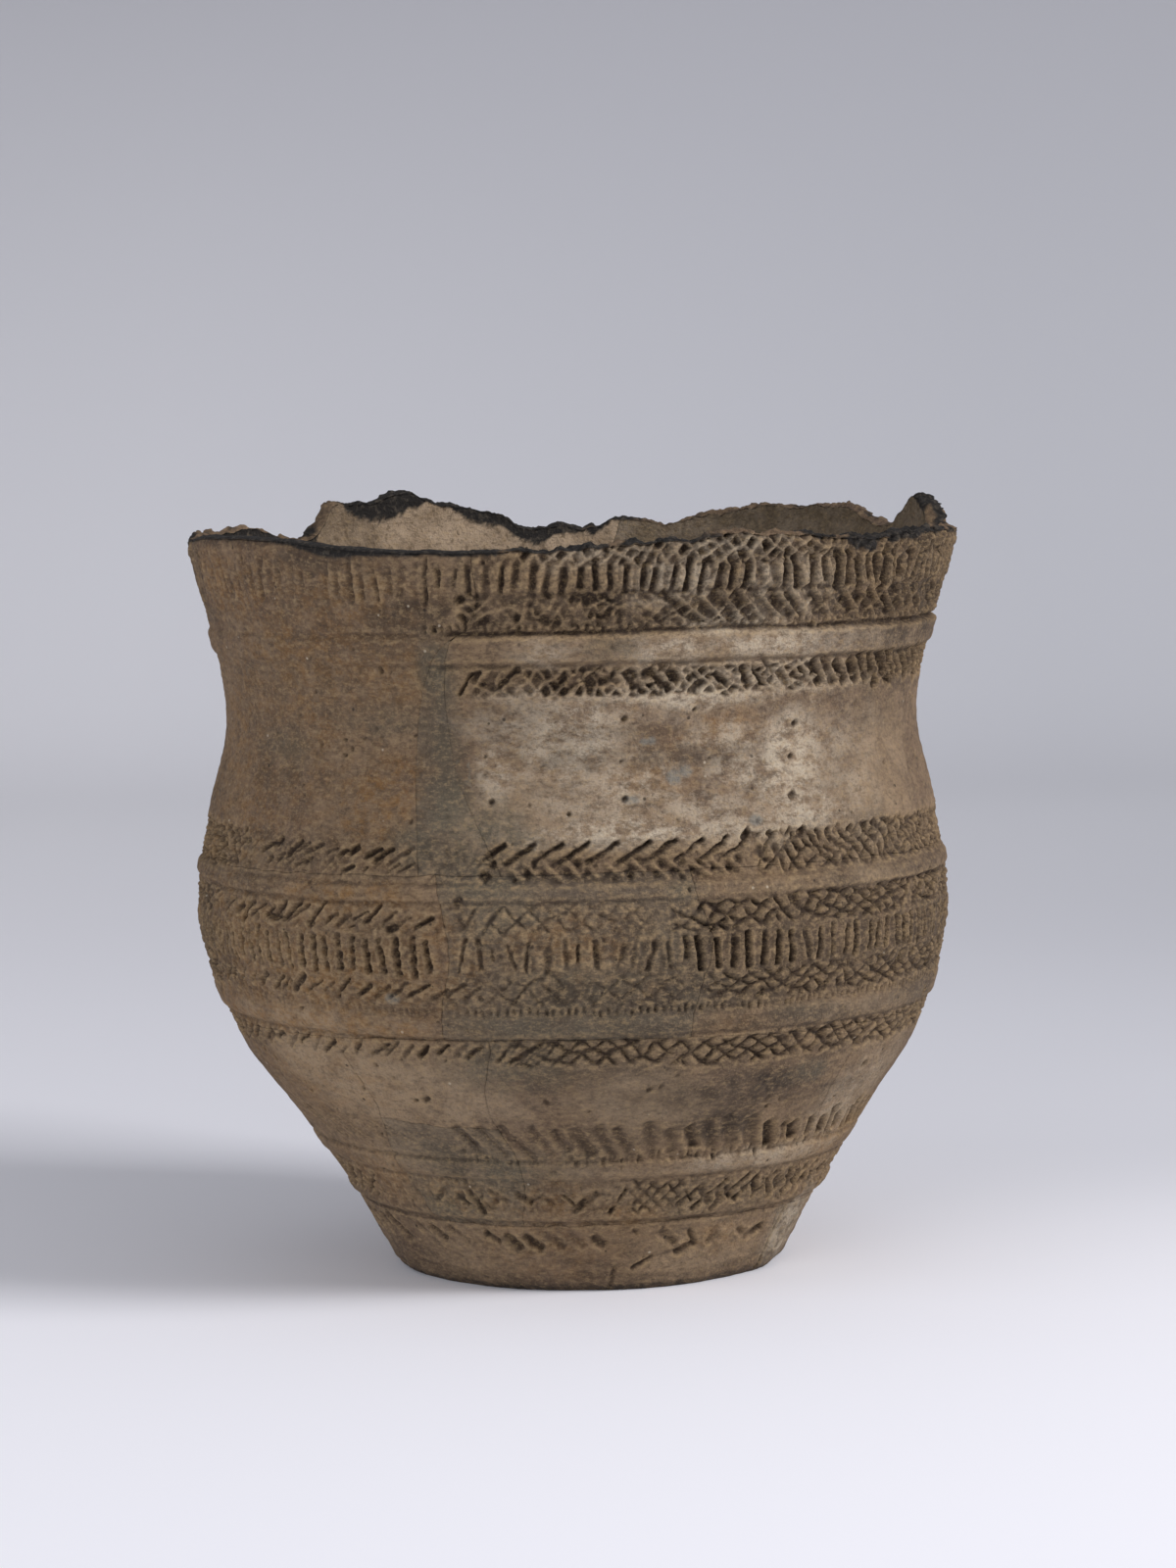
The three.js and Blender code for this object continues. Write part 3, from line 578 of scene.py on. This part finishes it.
def sherd(name, left, right, bottom, top):
    """One piece of the wall between four break lines: a grid that is wrapped round its section,
    up the outside, over the top, down the inside and back under the bottom."""
    middle = (left(60.0) + right(60.0)) / 2
    low, high = float(bottom(np.array(middle))), float(top(np.array(middle)))
    level = (low + high) / 2
    wide = math.radians(float(right(level) - left(level))) * float(outline(level))
    across = max(int(wide / PITCH_OUTSIDE), 8)
    up, down = int((high - low) / PITCH_OUTSIDE) + 2, int((high - low) / PITCH_INSIDE) + 2
    over = 15 if top is rim else 5
    part = np.linspace(0, 1, across + 1)[None, :]
    inner_rise = 1 - np.linspace(0, 1, down + 1) ** 1.6  # closest together under the rim
    rise = np.concatenate([np.linspace(0, 1, up + 1), np.ones(over - 1), inner_rise, np.zeros(5)])
    across_top, back_under = np.linspace(0, 1, over + 1)[1:-1], np.linspace(1, 0, 6)[1:]
    depth = np.concatenate([np.zeros(up + 1), across_top, np.ones(down + 1), back_under])
    rise, depth = rise[:, None], depth[:, None]
    angle = left(level) + (right(level) - left(level)) * part
    height = level + 0 * (angle + rise)
    for _ in range(6):
        slack = math.degrees(HAIRLINE / MEAN_RADIUS)
        start, end = left(height) + slack, right(height) - slack
        angle = start + (end - start) * part
        foot, head = bottom(angle) + (0 if bottom is ground else HAIRLINE), top(angle) - HAIRLINE
        height = foot + (head - foot) * rise
    in_wall = 4 * depth * (1 - depth)
    inward = 60 + depth * 6 + (head - height)
    rough = sample(fine, angle * 1.7, inward) * 0.4 + sample(ragged, angle, inward + 30) * 0.8
    if top is rim:
        crown = np.where(rise == 1, 1.0, 0.0)
        rough = rough * (1 - 0.8 * rubbed(angle))
        height = height + crown * (in_wall * (0.3 + 1.1 * rough) - (2 * depth - 1) ** 4 * 0.5)
        height = np.minimum(height, HIGHEST_POINT)
    outside = outer_radius(angle, height) + sample(relief, angle, height)
    bumps = 0.35 * sample(wander, angle + 90, height) + 0.25 * sample(ragged, angle, height)
    bumps = bumps + 0.1 * sample(fine, angle, height)
    inside = inner_radius(angle, height) - bumps
    radius = outside + (inside - outside) * depth
    rounding = np.minimum(np.minimum(part, 1 - part) * wide, 9) / 0.5
    if top is rim:
        rim_gap = (head - height) / 1.1
        crumbled = 0.9 * np.exp(-np.clip(rim_gap, 0, 9) ** 2) * (1 + 0.9 * rough)
        radius = radius - np.where(depth == 0, crumbled, 0)
    radius = radius - np.where(depth == 0, 0.06 * np.exp(-(rounding**2)), 0)
    if bottom is ground:
        tucked = UNDERCUT * np.clip(1 - height / UNDERCUT_HEIGHT, 0, 1) ** 2
        radius = radius - np.where(depth == 0, tucked, 0)
    x = lean(height) + radius * np.sin(np.radians(angle))
    y = -radius * np.cos(np.radians(angle))
    shaped = bmesh.new()
    shaped.loops.layers.uv.new("OFBake")
    bmesh.ops.create_grid(shaped, x_segments=across, y_segments=len(rise) - 1, size=1, calc_uvs=True)
    mesh = bpy.data.meshes.new(name)
    shaped.to_mesh(mesh)
    place = np.stack([x, y, height + 0 * x], -1).reshape(-1, 3) * MM
    mesh.vertices.foreach_set("co", place.astype(np.float32).ravel())
    outer = depth == 0
    below = head - height + 1.3 * rough
    turned = (angle + 180) % 360 - 180
    char = smooth(0.3, -0.3, below - char_outside(turned)) * outer
    char = char + smooth(0.3, -0.3, below - char_inside(turned)) * (depth == 1)
    broken_top = (rise == 1) & (depth > 0) & (depth < 1)
    black_top = char_top(turned) + 0.5 * sample(ragged, angle, inward + 9)
    char = char + broken_top * smooth(0.35, 0.65, black_top)
    facts = {
        "pale": sample(pale, angle, height) * outer,
        "rust": sample(rust, angle, height) * outer,
        "tan": sample(tan, angle, height) * outer,
        "grey": sample(grey, angle, height) * outer,
        "stone": sample(stone, angle, height) * outer,
        # Outside, soot and dirt with painted shade; inside, the smoke stain and painted shade.
        "soot_dirt_and_shade": np.where(outer, sample(soot_dirt_and_shade, angle, height), smoke_and_shade(turned)),
        # Painted shade and dirt in the hollows, and painted highlight on the crests, outside only.
        "hollow_shade_and_dirt": sample(hollow_shade_and_dirt, angle, height) * (depth == 0),
        "edge": sample(edge, angle, height) * (depth == 0),
        "inside": smooth(0.9, 1, depth) + 0 * angle,
        "charred": np.clip(char, 0, 1) if top is rim else 0 * char,
    }
    for fact, value in facts.items():
        kept = mesh.attributes.new(fact, "FLOAT", "POINT")
        kept.data.foreach_set("value", np.broadcast_to(value, angle.shape).astype(np.float32).ravel())
    shaped.free()
    shaped = bmesh.new()
    shaped.from_mesh(mesh)
    shaped.verts.ensure_lookup_table()
    last = (len(rise) - 1) * (across + 1)
    seam = [shaped.verts[i] for i in (*range(across + 1), *range(last, last + across + 1))]
    bmesh.ops.remove_doubles(shaped, verts=seam, dist=2e-6)
    ends = [e for e in shaped.edges if e.is_boundary]
    bmesh.ops.holes_fill(shaped, edges=ends, sides=0)
    bmesh.ops.recalc_face_normals(shaped, faces=shaped.faces)
    for face in shaped.faces:
        face.smooth = len(face.verts) == 4
    shaped.to_mesh(mesh)
    shaped.free()
    piece = bpy.data.objects.new(name + "_dressed", mesh)
    bpy.context.scene.collection.objects.link(piece)
    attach(piece, "root")
    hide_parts(name)
    return piece


# The fired clay
# Coarse earthenware, hand-smoothed and fired in an open fire: no glaze, dull and gritty, brown
# with lighter and darker clouds, white grit, soot, painted shade and dirt in its hollows and on
# its sunk belts, and painted highlights on the crests of its marks.
def linear(sheet_colour):
    """An sRGB hex colour as linear red, green, blue and alpha."""
    parts = [int(sheet_colour[i : i + 2], 16) / 255 for i in (1, 3, 5)]
    return [c / 12.92 if c <= 0.04045 else ((c + 0.055) / 1.055) ** 2.4 for c in parts] + [1]


def per(millimetres):
    """The scale at which a pattern of Object coordinates repeats each so many millimetres."""
    return 1000 / millimetres


def node(material, kind, inputs=None, **settings):
    """Add a node with its settings; an input is a value or the socket that feeds it."""
    made = material.node_tree.nodes.new(kind)
    for setting, value in settings.items():
        setattr(made, setting, value)
    for socket, value in (inputs or {}).items():
        if isinstance(value, bpy.types.NodeSocket):
            material.node_tree.links.new(value, made.inputs[socket])
        else:
            made.inputs[socket].default_value = value
    return made


def earthenware(name, dark, mid, light, inner, inner_light):
    """Clay or tinted plaster in three browns outside and two inside, with the stains, painted shade and
    painted highlights over them.
    """
    clay = bpy.data.materials.new(name)
    clay.use_nodes = True
    clay.node_tree.nodes.clear()
    where = node(clay, "ShaderNodeTexCoord").outputs["Object"]
    at = {1: where}
    for stretch in (1.5, 1.9, 2.2):
        squeeze = {"Vector": where, "Scale": (1, 1, stretch)}
        at[stretch] = node(clay, "ShaderNodeMapping", squeeze).outputs[0]
    pattern = {}
    for called, millimetres, detail, rough, stretch in (
        ("clouds", 34, 4, 0.55, 1), ("handling", 9, 3, 0.55, 1), ("mottles", 7, 5, 0.68, 1),
        ("smears", 6, 5, 0.72, 1), ("smuts", 5, 5, 0.72, 1), ("bloom", 5, 7, 0.78, 1.5),
        ("dusk", 4.5, 4, 0.65, 2.2), ("ochre", 3.5, 6, 0.75, 1.5), ("lumps", 2.2, 5, 0.65, 1),
        ("gravel", 1.8, 3, 0.6, 1), ("speckle", 1.5, 4, 0.7, 1.9), ("embers", 1.1, 3, 0.55, 1),
        ("dust", 0.7, 3, 0.7, 1),
    ):
        knobs = {"Vector": at[stretch], "Scale": per(millimetres), "Detail": detail, "Roughness": rough}
        pattern[called] = node(clay, "ShaderNodeTexNoise", knobs).outputs[0]
    for stain in ("pale", "rust", "tan", "grey", "stone", "soot_dirt_and_shade", "hollow_shade_and_dirt", "edge", "inside", "charred"):
        pattern[stain] = node(clay, "ShaderNodeAttribute", attribute_name=stain).outputs["Fac"]
    grains = node(clay, "ShaderNodeTexVoronoi", {"Vector": where, "Scale": per(3.1)}).outputs
    kind = node(clay, "ShaderNodeSeparateColor", {0: grains["Color"]}).outputs[0]
    pattern["grain"] = grains["Distance"]
    pattern["white_grains"] = node(clay, "ShaderNodeMapRange", {0: kind, 1: 0.93, 2: 0.95}).outputs[0]
    pattern["black_grains"] = node(clay, "ShaderNodeMapRange", {0: kind, 1: 0.12, 2: 0.08}).outputs[0]
    # The painted highlight on the crests is weaker where there is soot.
    crest_highlight_strength = node(clay, "ShaderNodeMapRange", {0: pattern["soot_dirt_and_shade"], 3: 0.85, 4: 0.5}).outputs[0]
    both = {0: pattern["edge"], 1: crest_highlight_strength}
    crest_highlights = node(clay, "ShaderNodeMath", both, operation="MULTIPLY", use_clamp=True)
    pattern["crest_highlights"] = crest_highlights.outputs[0]
    # Each row lays one colour over another where a pattern lies between two values, from the
    # least share to the most, and where a stain is, if it names one.
    mixed = {}
    for made, under, over, called, low, high, least, most, stain in (
        ("clay", dark, mid, "clouds", 0.36, 0.56, 0, 1, None),
        ("clay", "clay", light, "mottles", 0.46, 0.66, 0, 0.65, None),
        ("clay", "clay", "#4f4136", "dusk", 0.53, 0.64, 0, 0.6, None),
        ("clay", "clay", "#9c8973", "mottles", 0.36, 0.56, 0.3, 0.9, "tan"),
        ("clay", "clay", "#bfb3a2", "bloom", 0.42, 0.56, 0.1, 0.95, "pale"),
        ("clay", "clay", "#87602f", "ochre", 0.44, 0.6, 0.1, 0.7, "rust"),
        ("clay", "clay", "#615a4d", "smears", 0.38, 0.5, 0.25, 0.95, "grey"),
        ("clay", "clay", "#7f7d78", "stone", 0, 1, 0, 0.9, None),
        # Soot and dirt, with painted shade laid in with them.
        ("clay", "clay", "#3b3129", "smuts", 0.36, 0.58, 0.45, 1, "soot_dirt_and_shade"),
        # Painted shade and dirt in the hollows of the marks.
        ("clay", "clay", "#2e2219", "hollow_shade_and_dirt", 0, 1, 0, 0.9, None),
        # Painted highlight on the crests of the marks, paler where the bloom is.
        ("lit_crest", "#9a8466", "#cbbda8", "pale", 0, 1, 0, 1, None),
        ("clay", "clay", "lit_crest", "speckle", 0.4, 0.6, 0.3, 1, "crest_highlights"),
        ("inner_wall", inner, inner_light, "mottles", 0.42, 0.6, 0, 1, None),
        # Inside: the smoke stain, and painted shade over the right of the inner wall.
        ("inner_wall", "inner_wall", "#3d3020", "smuts", 0.36, 0.58, 0.45, 1, "soot_dirt_and_shade"),
        ("clay", "clay", "inner_wall", "inside", 0, 1, 0, 1, None),
        ("clay", "clay", "#a18a69", "speckle", 0.52, 0.64, 0, 0.38, None),
        ("clay", "clay", "#3f342a", "speckle", 0.47, 0.36, 0, 0.36, None),
        ("clay", "clay", "#b39b79", "dust", 0.56, 0.66, 0, 0.2, None),
        ("clay", "clay", "#372d24", "dust", 0.43, 0.34, 0, 0.25, None),
        ("clay", "clay", "#5a4b3a", "gravel", 0.34, 0.44, 0.6, 0, "inside"),
        ("clay", "clay", "#b8ad9c", "grain", 0.12, 0.07, 0, 0.7, "white_grains"),
        ("clay", "clay", "#2b241d", "grain", 0.14, 0.09, 0, 0.8, "black_grains"),
        ("coal", "#23201e", "#4a443d", "embers", 0.5, 0.7, 0, 1, None),
        ("clay", "clay", "coal", "charred", 0, 1, 0, 1, None),
    ):
        ramp = {0: pattern[called], 1: low, 2: high, 3: least, 4: most}
        share = node(clay, "ShaderNodeMapRange", ramp).outputs[0]
        if stain:
            both = {0: pattern[stain], 1: share}
            share = node(clay, "ShaderNodeMath", both, operation="MULTIPLY", use_clamp=True).outputs[0]
        under, over = (mixed[c] if c in mixed else linear(c) for c in (under, over))
        coat = {0: share, 6: under, 7: over}
        mixed[made] = node(clay, "ShaderNodeMix", coat, data_type="RGBA").outputs[2]
    # All of it a little darker and warmer, for the lamps are cool.
    toned = {0: 1.0, 6: linear("#f4f0e6"), 7: mixed["clay"]}
    colour = node(clay, "ShaderNodeMix", toned, data_type="RGBA", blend_type="MULTIPLY").outputs[2]
    ramp = {0: pattern["handling"], 1: 0.35, 2: 0.65, 3: 0.82, 4: 0.95}
    dull = node(clay, "ShaderNodeMapRange", ramp).outputs[0]
    height = node(clay, "ShaderNodeMath", {0: pattern["dust"], 1: 0.6}, operation="MULTIPLY").outputs[0]
    height = node(clay, "ShaderNodeMath", {0: pattern["lumps"], 1: height}, operation="ADD").outputs[0]
    grainy = {"Strength": 1.0, "Distance": 0.001, "Height": height}
    bump = node(clay, "ShaderNodeBump", grainy).outputs[0]
    finish = {"Base Color": colour, "Roughness": dull, "Specular IOR Level": 0.3, "Normal": bump}
    surface = node(clay, "ShaderNodeBsdfPrincipled", finish)
    node(clay, "ShaderNodeOutputMaterial", {"Surface": surface.outputs[0]})
    return clay


browns = "#645244", "#796551", "#8f7963"
brown_clay = earthenware("coarse_earthenware_brown", *browns, "#756857", "#8a7d6e")
buff_clay = earthenware("coarse_earthenware_buff_inside", *browns, "#978571", "#b09d88")

# The foot
# The lowest coil, pinched on round the base slab and pressed with slanting marks. It broke
# into three; one narrow gap beside the right break is filled.
foot_left = break_up(-64, 1.8, 26, 4)
foot_fill_left = break_up(55.5, 1, 24, 0)
foot_fill_right = break_up(70, 1.2, 28, 2)
foot_back = break_up(-170, 2, 30, 1)


def on_round(line):
    """The same break one whole turn further on."""
    return lambda height: line(height) + 360


for name, left, right in (
    ("foot_sherd_front", foot_left, foot_fill_left),
    ("foot_sherd_back_right", foot_fill_right, on_round(foot_back)),
    ("foot_sherd_left", foot_back, foot_left),
):
    piece = sherd(name, left, right, ground, foot_break)
    piece.data.materials.append(brown_clay)

# The lower wall
# The coils that widen to the belly, with smooth zones between the marked bands. Five sherds
# and a small one over the lower fill.
lower_fill_left = break_up(-41, 2, 36, 0)
lower_fill_right = break_up(-15, 1.6, 30, 2)
lower_right = break_up(52, 2.4, 40, 4)
lower_back_right = break_up(118, 2.2, 46, 1)
lower_back = break_up(-172, 2, 42, 3)
lower_left = break_up(-104, 2.2, 38, 5)
for name, left, right, bottom, top in (
    ("lower_sherd_front", lower_fill_right, lower_right, foot_break, lower_break),
    ("lower_sherd_right", lower_right, lower_back_right, foot_break, lower_break),
    ("lower_sherd_back", lower_back_right, on_round(lower_back), foot_break, lower_break),
    ("lower_sherd_left", lower_back, lower_left, foot_break, lower_break),
    ("lower_sherd_front_left", lower_left, lower_fill_left, foot_break, lower_break),
    ("lower_sherd_small", lower_fill_left, lower_fill_right, lower_fill_top, lower_break),
):
    piece = sherd(name, left, right, bottom, top)
    piece.data.materials.append(brown_clay)

# The belly
# The widest coils, between the lower break and the shoulder, with most of the marks. Five
# sherds; the front of it is a fill.
belly_fill_left = break_up(-19.5, 1.2, 40, 2)
belly_fill_right = break_up(19, 1.4, 34, 0)
belly_right = break_up(88, 1.8, 44, 1)
belly_back_right = break_up(150, 1.8, 50, 3)
belly_back_left = break_up(-146, 2, 46, 5)
belly_left = break_up(-83, 2, 54, 2)
for name, left, right in (
    ("belly_sherd_right", belly_fill_right, belly_right),
    ("belly_sherd_back_right", belly_right, belly_back_right),
    ("belly_sherd_back", belly_back_right, on_round(belly_back_left)),
    ("belly_sherd_back_left", belly_back_left, belly_left),
    ("belly_sherd_front_left", belly_left, belly_fill_left),
):
    piece = sherd(name, left, right, lower_break, shoulder_break)
    piece.data.materials.append(brown_clay)

# The neck and rim
# The narrowing neck and the flaring rim, broken off all round. Six sherds; the one at the back
# left is pale buff inside, where the fire burnt it clean.
rim_right = break_up(71, 2.2, 60, 0)
rim_back_right = break_up(122, 2, 48, 1)
rim_back = break_up(173, 2.4, 70, 2)
rim_back_left = break_up(-131, 2, 52, 3)
rim_left = break_up(-79, 2.3, 64, 4)
neck_fill_left = curve(
    (91, -22.9), (102, -23.7), (116, -24.9), (132, -22.6), (138, -19.4), (142, -15.4), (158, -14.2)
)
neck_fill_width = curve((91, 12.9), (110, 7.3), (125, 4.4), (137, 1.4), (140, 0), (158, 0))


def neck_fill_right(height):
    return neck_fill_left(height) + np.maximum(0, neck_fill_width(height))


for name, left, right, clay in (
    ("rim_sherd_front", neck_fill_right, rim_right, brown_clay),
    ("rim_sherd_right", rim_right, rim_back_right, brown_clay),
    ("rim_sherd_back_right", rim_back_right, rim_back, brown_clay),
    ("rim_sherd_back", rim_back, on_round(rim_back_left), buff_clay),
    ("rim_sherd_back_left", rim_back_left, rim_left, brown_clay),
    ("rim_sherd_left", rim_left, neck_fill_left, brown_clay),
):
    piece = sherd(name, left, right, shoulder_break, rim)
    piece.data.materials.append(clay)

# The fills
# Plaster, laid in the gaps when the jar was put together again, cut to the curve of the wall,
# marked to match it and tinted brown.
tinted_plaster = earthenware("tinted_plaster", "#5c5146", "#6b5e50", "#7b6c5b", "#8a8074", "#9a9084")
for name, left, right, bottom, top in (
    ("foot_fill", foot_fill_left, foot_fill_right, ground, foot_break),
    ("lower_fill", lower_fill_left, lower_fill_right, foot_break, lower_fill_top),
    ("belly_fill", belly_fill_left, belly_fill_right, lower_break, shoulder_break),
    ("neck_fill", neck_fill_left, neck_fill_right, shoulder_break, neck_fill_top),
):
    piece = sherd(name, left, right, bottom, top)
    piece.data.materials.append(tinted_plaster)

# The base slab
# A flat disc of clay, on which the foot was built up: sanded below, uneven above.
SLAB_RADIUS = BASE_RADIUS - FOOT_WALL - 0.3
slab = bmesh.new()
slab.loops.layers.uv.new("OFBake")
bmesh.ops.create_grid(slab, x_segments=240, y_segments=150, size=1, calc_uvs=True)
mesh = bpy.data.meshes.new("base_slab")
slab.to_mesh(mesh)
slab.free()
turn = np.linspace(0, 2 * math.pi, 241)[None, :]
ring = np.concatenate([np.linspace(0.02, 1, 65), np.ones(20), np.linspace(1, 0.02, 66)])[:, None]
level = np.concatenate([np.zeros(65), np.linspace(0, 1, 20), np.ones(66)])[:, None]
x, y = ring * np.cos(turn) * SLAB_RADIUS, ring * np.sin(turn) * SLAB_RADIUS
uneven = sample(ragged, x * 1.2, 80 + y) * 0.22 + sample(wander, x * 1.2, 80 + y) * 0.3
edge_round = np.clip((ring - 0.965) / 0.035, 0, 1) ** 2
upper = SLAB_THICKNESS - 0.5 + uneven - 0.7 * edge_round
lower = 0.25 + 0.4 * uneven + 0.5 * edge_round
z = level * upper + (1 - level) * lower
mesh.vertices.foreach_set("co", (np.stack([x, y, z], -1).reshape(-1, 3) * MM).astype(np.float32).ravel())
inside = mesh.attributes.new("inside", "FLOAT", "POINT")
inside.data.foreach_set("value", (np.where(level > 0.5, 1.0, 0) + 0 * x).astype(np.float32).ravel())
slab = bmesh.new()
slab.from_mesh(mesh)
bmesh.ops.remove_doubles(slab, verts=slab.verts, dist=1e-6)
bmesh.ops.holes_fill(slab, edges=[e for e in slab.edges if e.is_boundary], sides=0)
bmesh.ops.recalc_face_normals(slab, faces=slab.faces)
for face in slab.faces:
    face.smooth = True
slab.to_mesh(mesh)
slab.free()
piece = bpy.data.objects.new("base_slab_dressed", mesh)
bpy.context.scene.collection.objects.link(piece)
piece.data.materials.append(brown_clay)
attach(piece, "root")
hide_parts("base_slab")

# The studio
# A pale paper sweep whose colour is painted with light and shade: darker on its right, behind the
# jar and with its height, and lighter again far back. One large soft lamp on the right, and
# weaker ones in front on the left and far left.
sweep = bmesh.new()
bmesh.ops.create_grid(sweep, x_segments=1, y_segments=60, size=1)
mesh = bpy.data.meshes.new("sweep")
sweep.to_mesh(mesh)
sweep.free()
along = np.linspace(0, 1, 61)
run = along * 4.6
bend_start, bend_radius = 2.3, 0.7
bend = np.clip((run - bend_start) / bend_radius, 0, math.pi / 2)
sweep_y = np.minimum(run, bend_start) + bend_radius * np.sin(bend) - 1.1
sweep_z = bend_radius * (1 - np.cos(bend)) + np.maximum(run - bend_start - bend_radius * math.pi / 2, 0)
sides = np.tile([-3.0, 3.0], (61, 1))
place = np.stack([sides, np.tile(sweep_y[:, None], 2), np.tile(sweep_z[:, None], 2)], -1)
mesh.vertices.foreach_set("co", place.astype(np.float32).ravel())
for polygon in mesh.polygons:
    polygon.use_smooth = True
backdrop = bpy.data.objects.new("paper_sweep", mesh)
bpy.context.scene.collection.objects.link(backdrop)
paper = bpy.data.materials.new("matt_background_paper")
paper.use_nodes = True
paper.node_tree.nodes.clear()
where = node(paper, "ShaderNodeTexCoord").outputs["Object"]
place = node(paper, "ShaderNodeSeparateXYZ", {0: where}).outputs
# Painted shade and light on the paper: darker to the right, darker again behind the jar, lighter far
# back and darker with height.
beside = node(paper, "ShaderNodeMapRange", {0: place[0], 1: -0.25, 2: 0.25}).outputs[0]
tints = {0: beside, 6: linear("#f8f8fb"), 7: linear("#efeff2")}
shade = node(paper, "ShaderNodeMix", tints, data_type="RGBA").outputs[2]
for left, right, axis, start, end, easing in (
    ("#f3f3f6", "#d7d8dc", 1, -0.02, 0.14, "SMOOTHSTEP"),
    ("#fafafc", "#e9eaed", 1, 0.5, 1.1, "SMOOTHSTEP"),
    ("#b6b6ba", "#bebec2", 2, 0.03, 0.6, "LINEAR"),
):
    reach = {0: place[axis], 1: start, 2: end}
    there = node(paper, "ShaderNodeMapRange", reach, interpolation_type=easing).outputs[0]
    tints = {0: beside, 6: linear(left), 7: linear(right)}
    tint = node(paper, "ShaderNodeMix", tints, data_type="RGBA").outputs[2]
    shade = node(paper, "ShaderNodeMix", {0: there, 6: shade, 7: tint}, data_type="RGBA").outputs[2]
matt = node(paper, "ShaderNodeBsdfDiffuse", {"Color": shade}).outputs[0]
node(paper, "ShaderNodeOutputMaterial", {"Surface": matt})
mesh.materials.append(paper)

aim = np.array([0, 0, 0.08])
for name, at, size, watts, tint in (
    ("key_softbox", (1.1, -0.5, 0.78), 0.5, 16.2, "#fbfaff"),
    ("fill_softbox", (-0.75, -1.4, 0.2), 1.0, 9.7, "#f0f4ff"),
    ("left_softbox", (-1.3, -0.5, 0.35), 0.8, 5.3, "#f0f4ff"),
):
    lamp = bpy.data.lights.new(name, "AREA")
    lamp.size, lamp.energy, lamp.color = size, watts, linear(tint)[:3]
    hung = bpy.data.objects.new(name, lamp)
    hung.location = at
    hung.rotation_euler = Vector(aim - np.array(at)).to_track_quat("-Z", "Y").to_euler()
    bpy.context.scene.collection.objects.link(hung)
world = bpy.data.worlds.new("studio_air")
world.use_nodes = True
world.node_tree.nodes["Background"].inputs["Color"].default_value = linear("#e2e2e9")
world.node_tree.nodes["Background"].inputs["Strength"].default_value = 0.52
bpy.context.scene.world = world
bpy.context.scene.view_settings.view_transform = "Standard"

# The camera
# A long lens nearly a metre away, a little above the rim, tipped down and slightly rolled.
lens = bpy.data.cameras.new("camera")
lens.sensor_fit, lens.sensor_height, lens.lens = "VERTICAL", 36, 100.67
camera = bpy.data.objects.new("camera", lens)
camera.location = (0.0012, -0.95, 0.185)
tipped, rolled = math.radians(85.1), math.radians(-1)
turned = Matrix.Rotation(tipped, 3, "X") @ Matrix.Rotation(rolled, 3, "Z")
camera.rotation_euler = turned.to_euler()
bpy.context.scene.collection.objects.link(camera)
bpy.context.scene.camera = camera
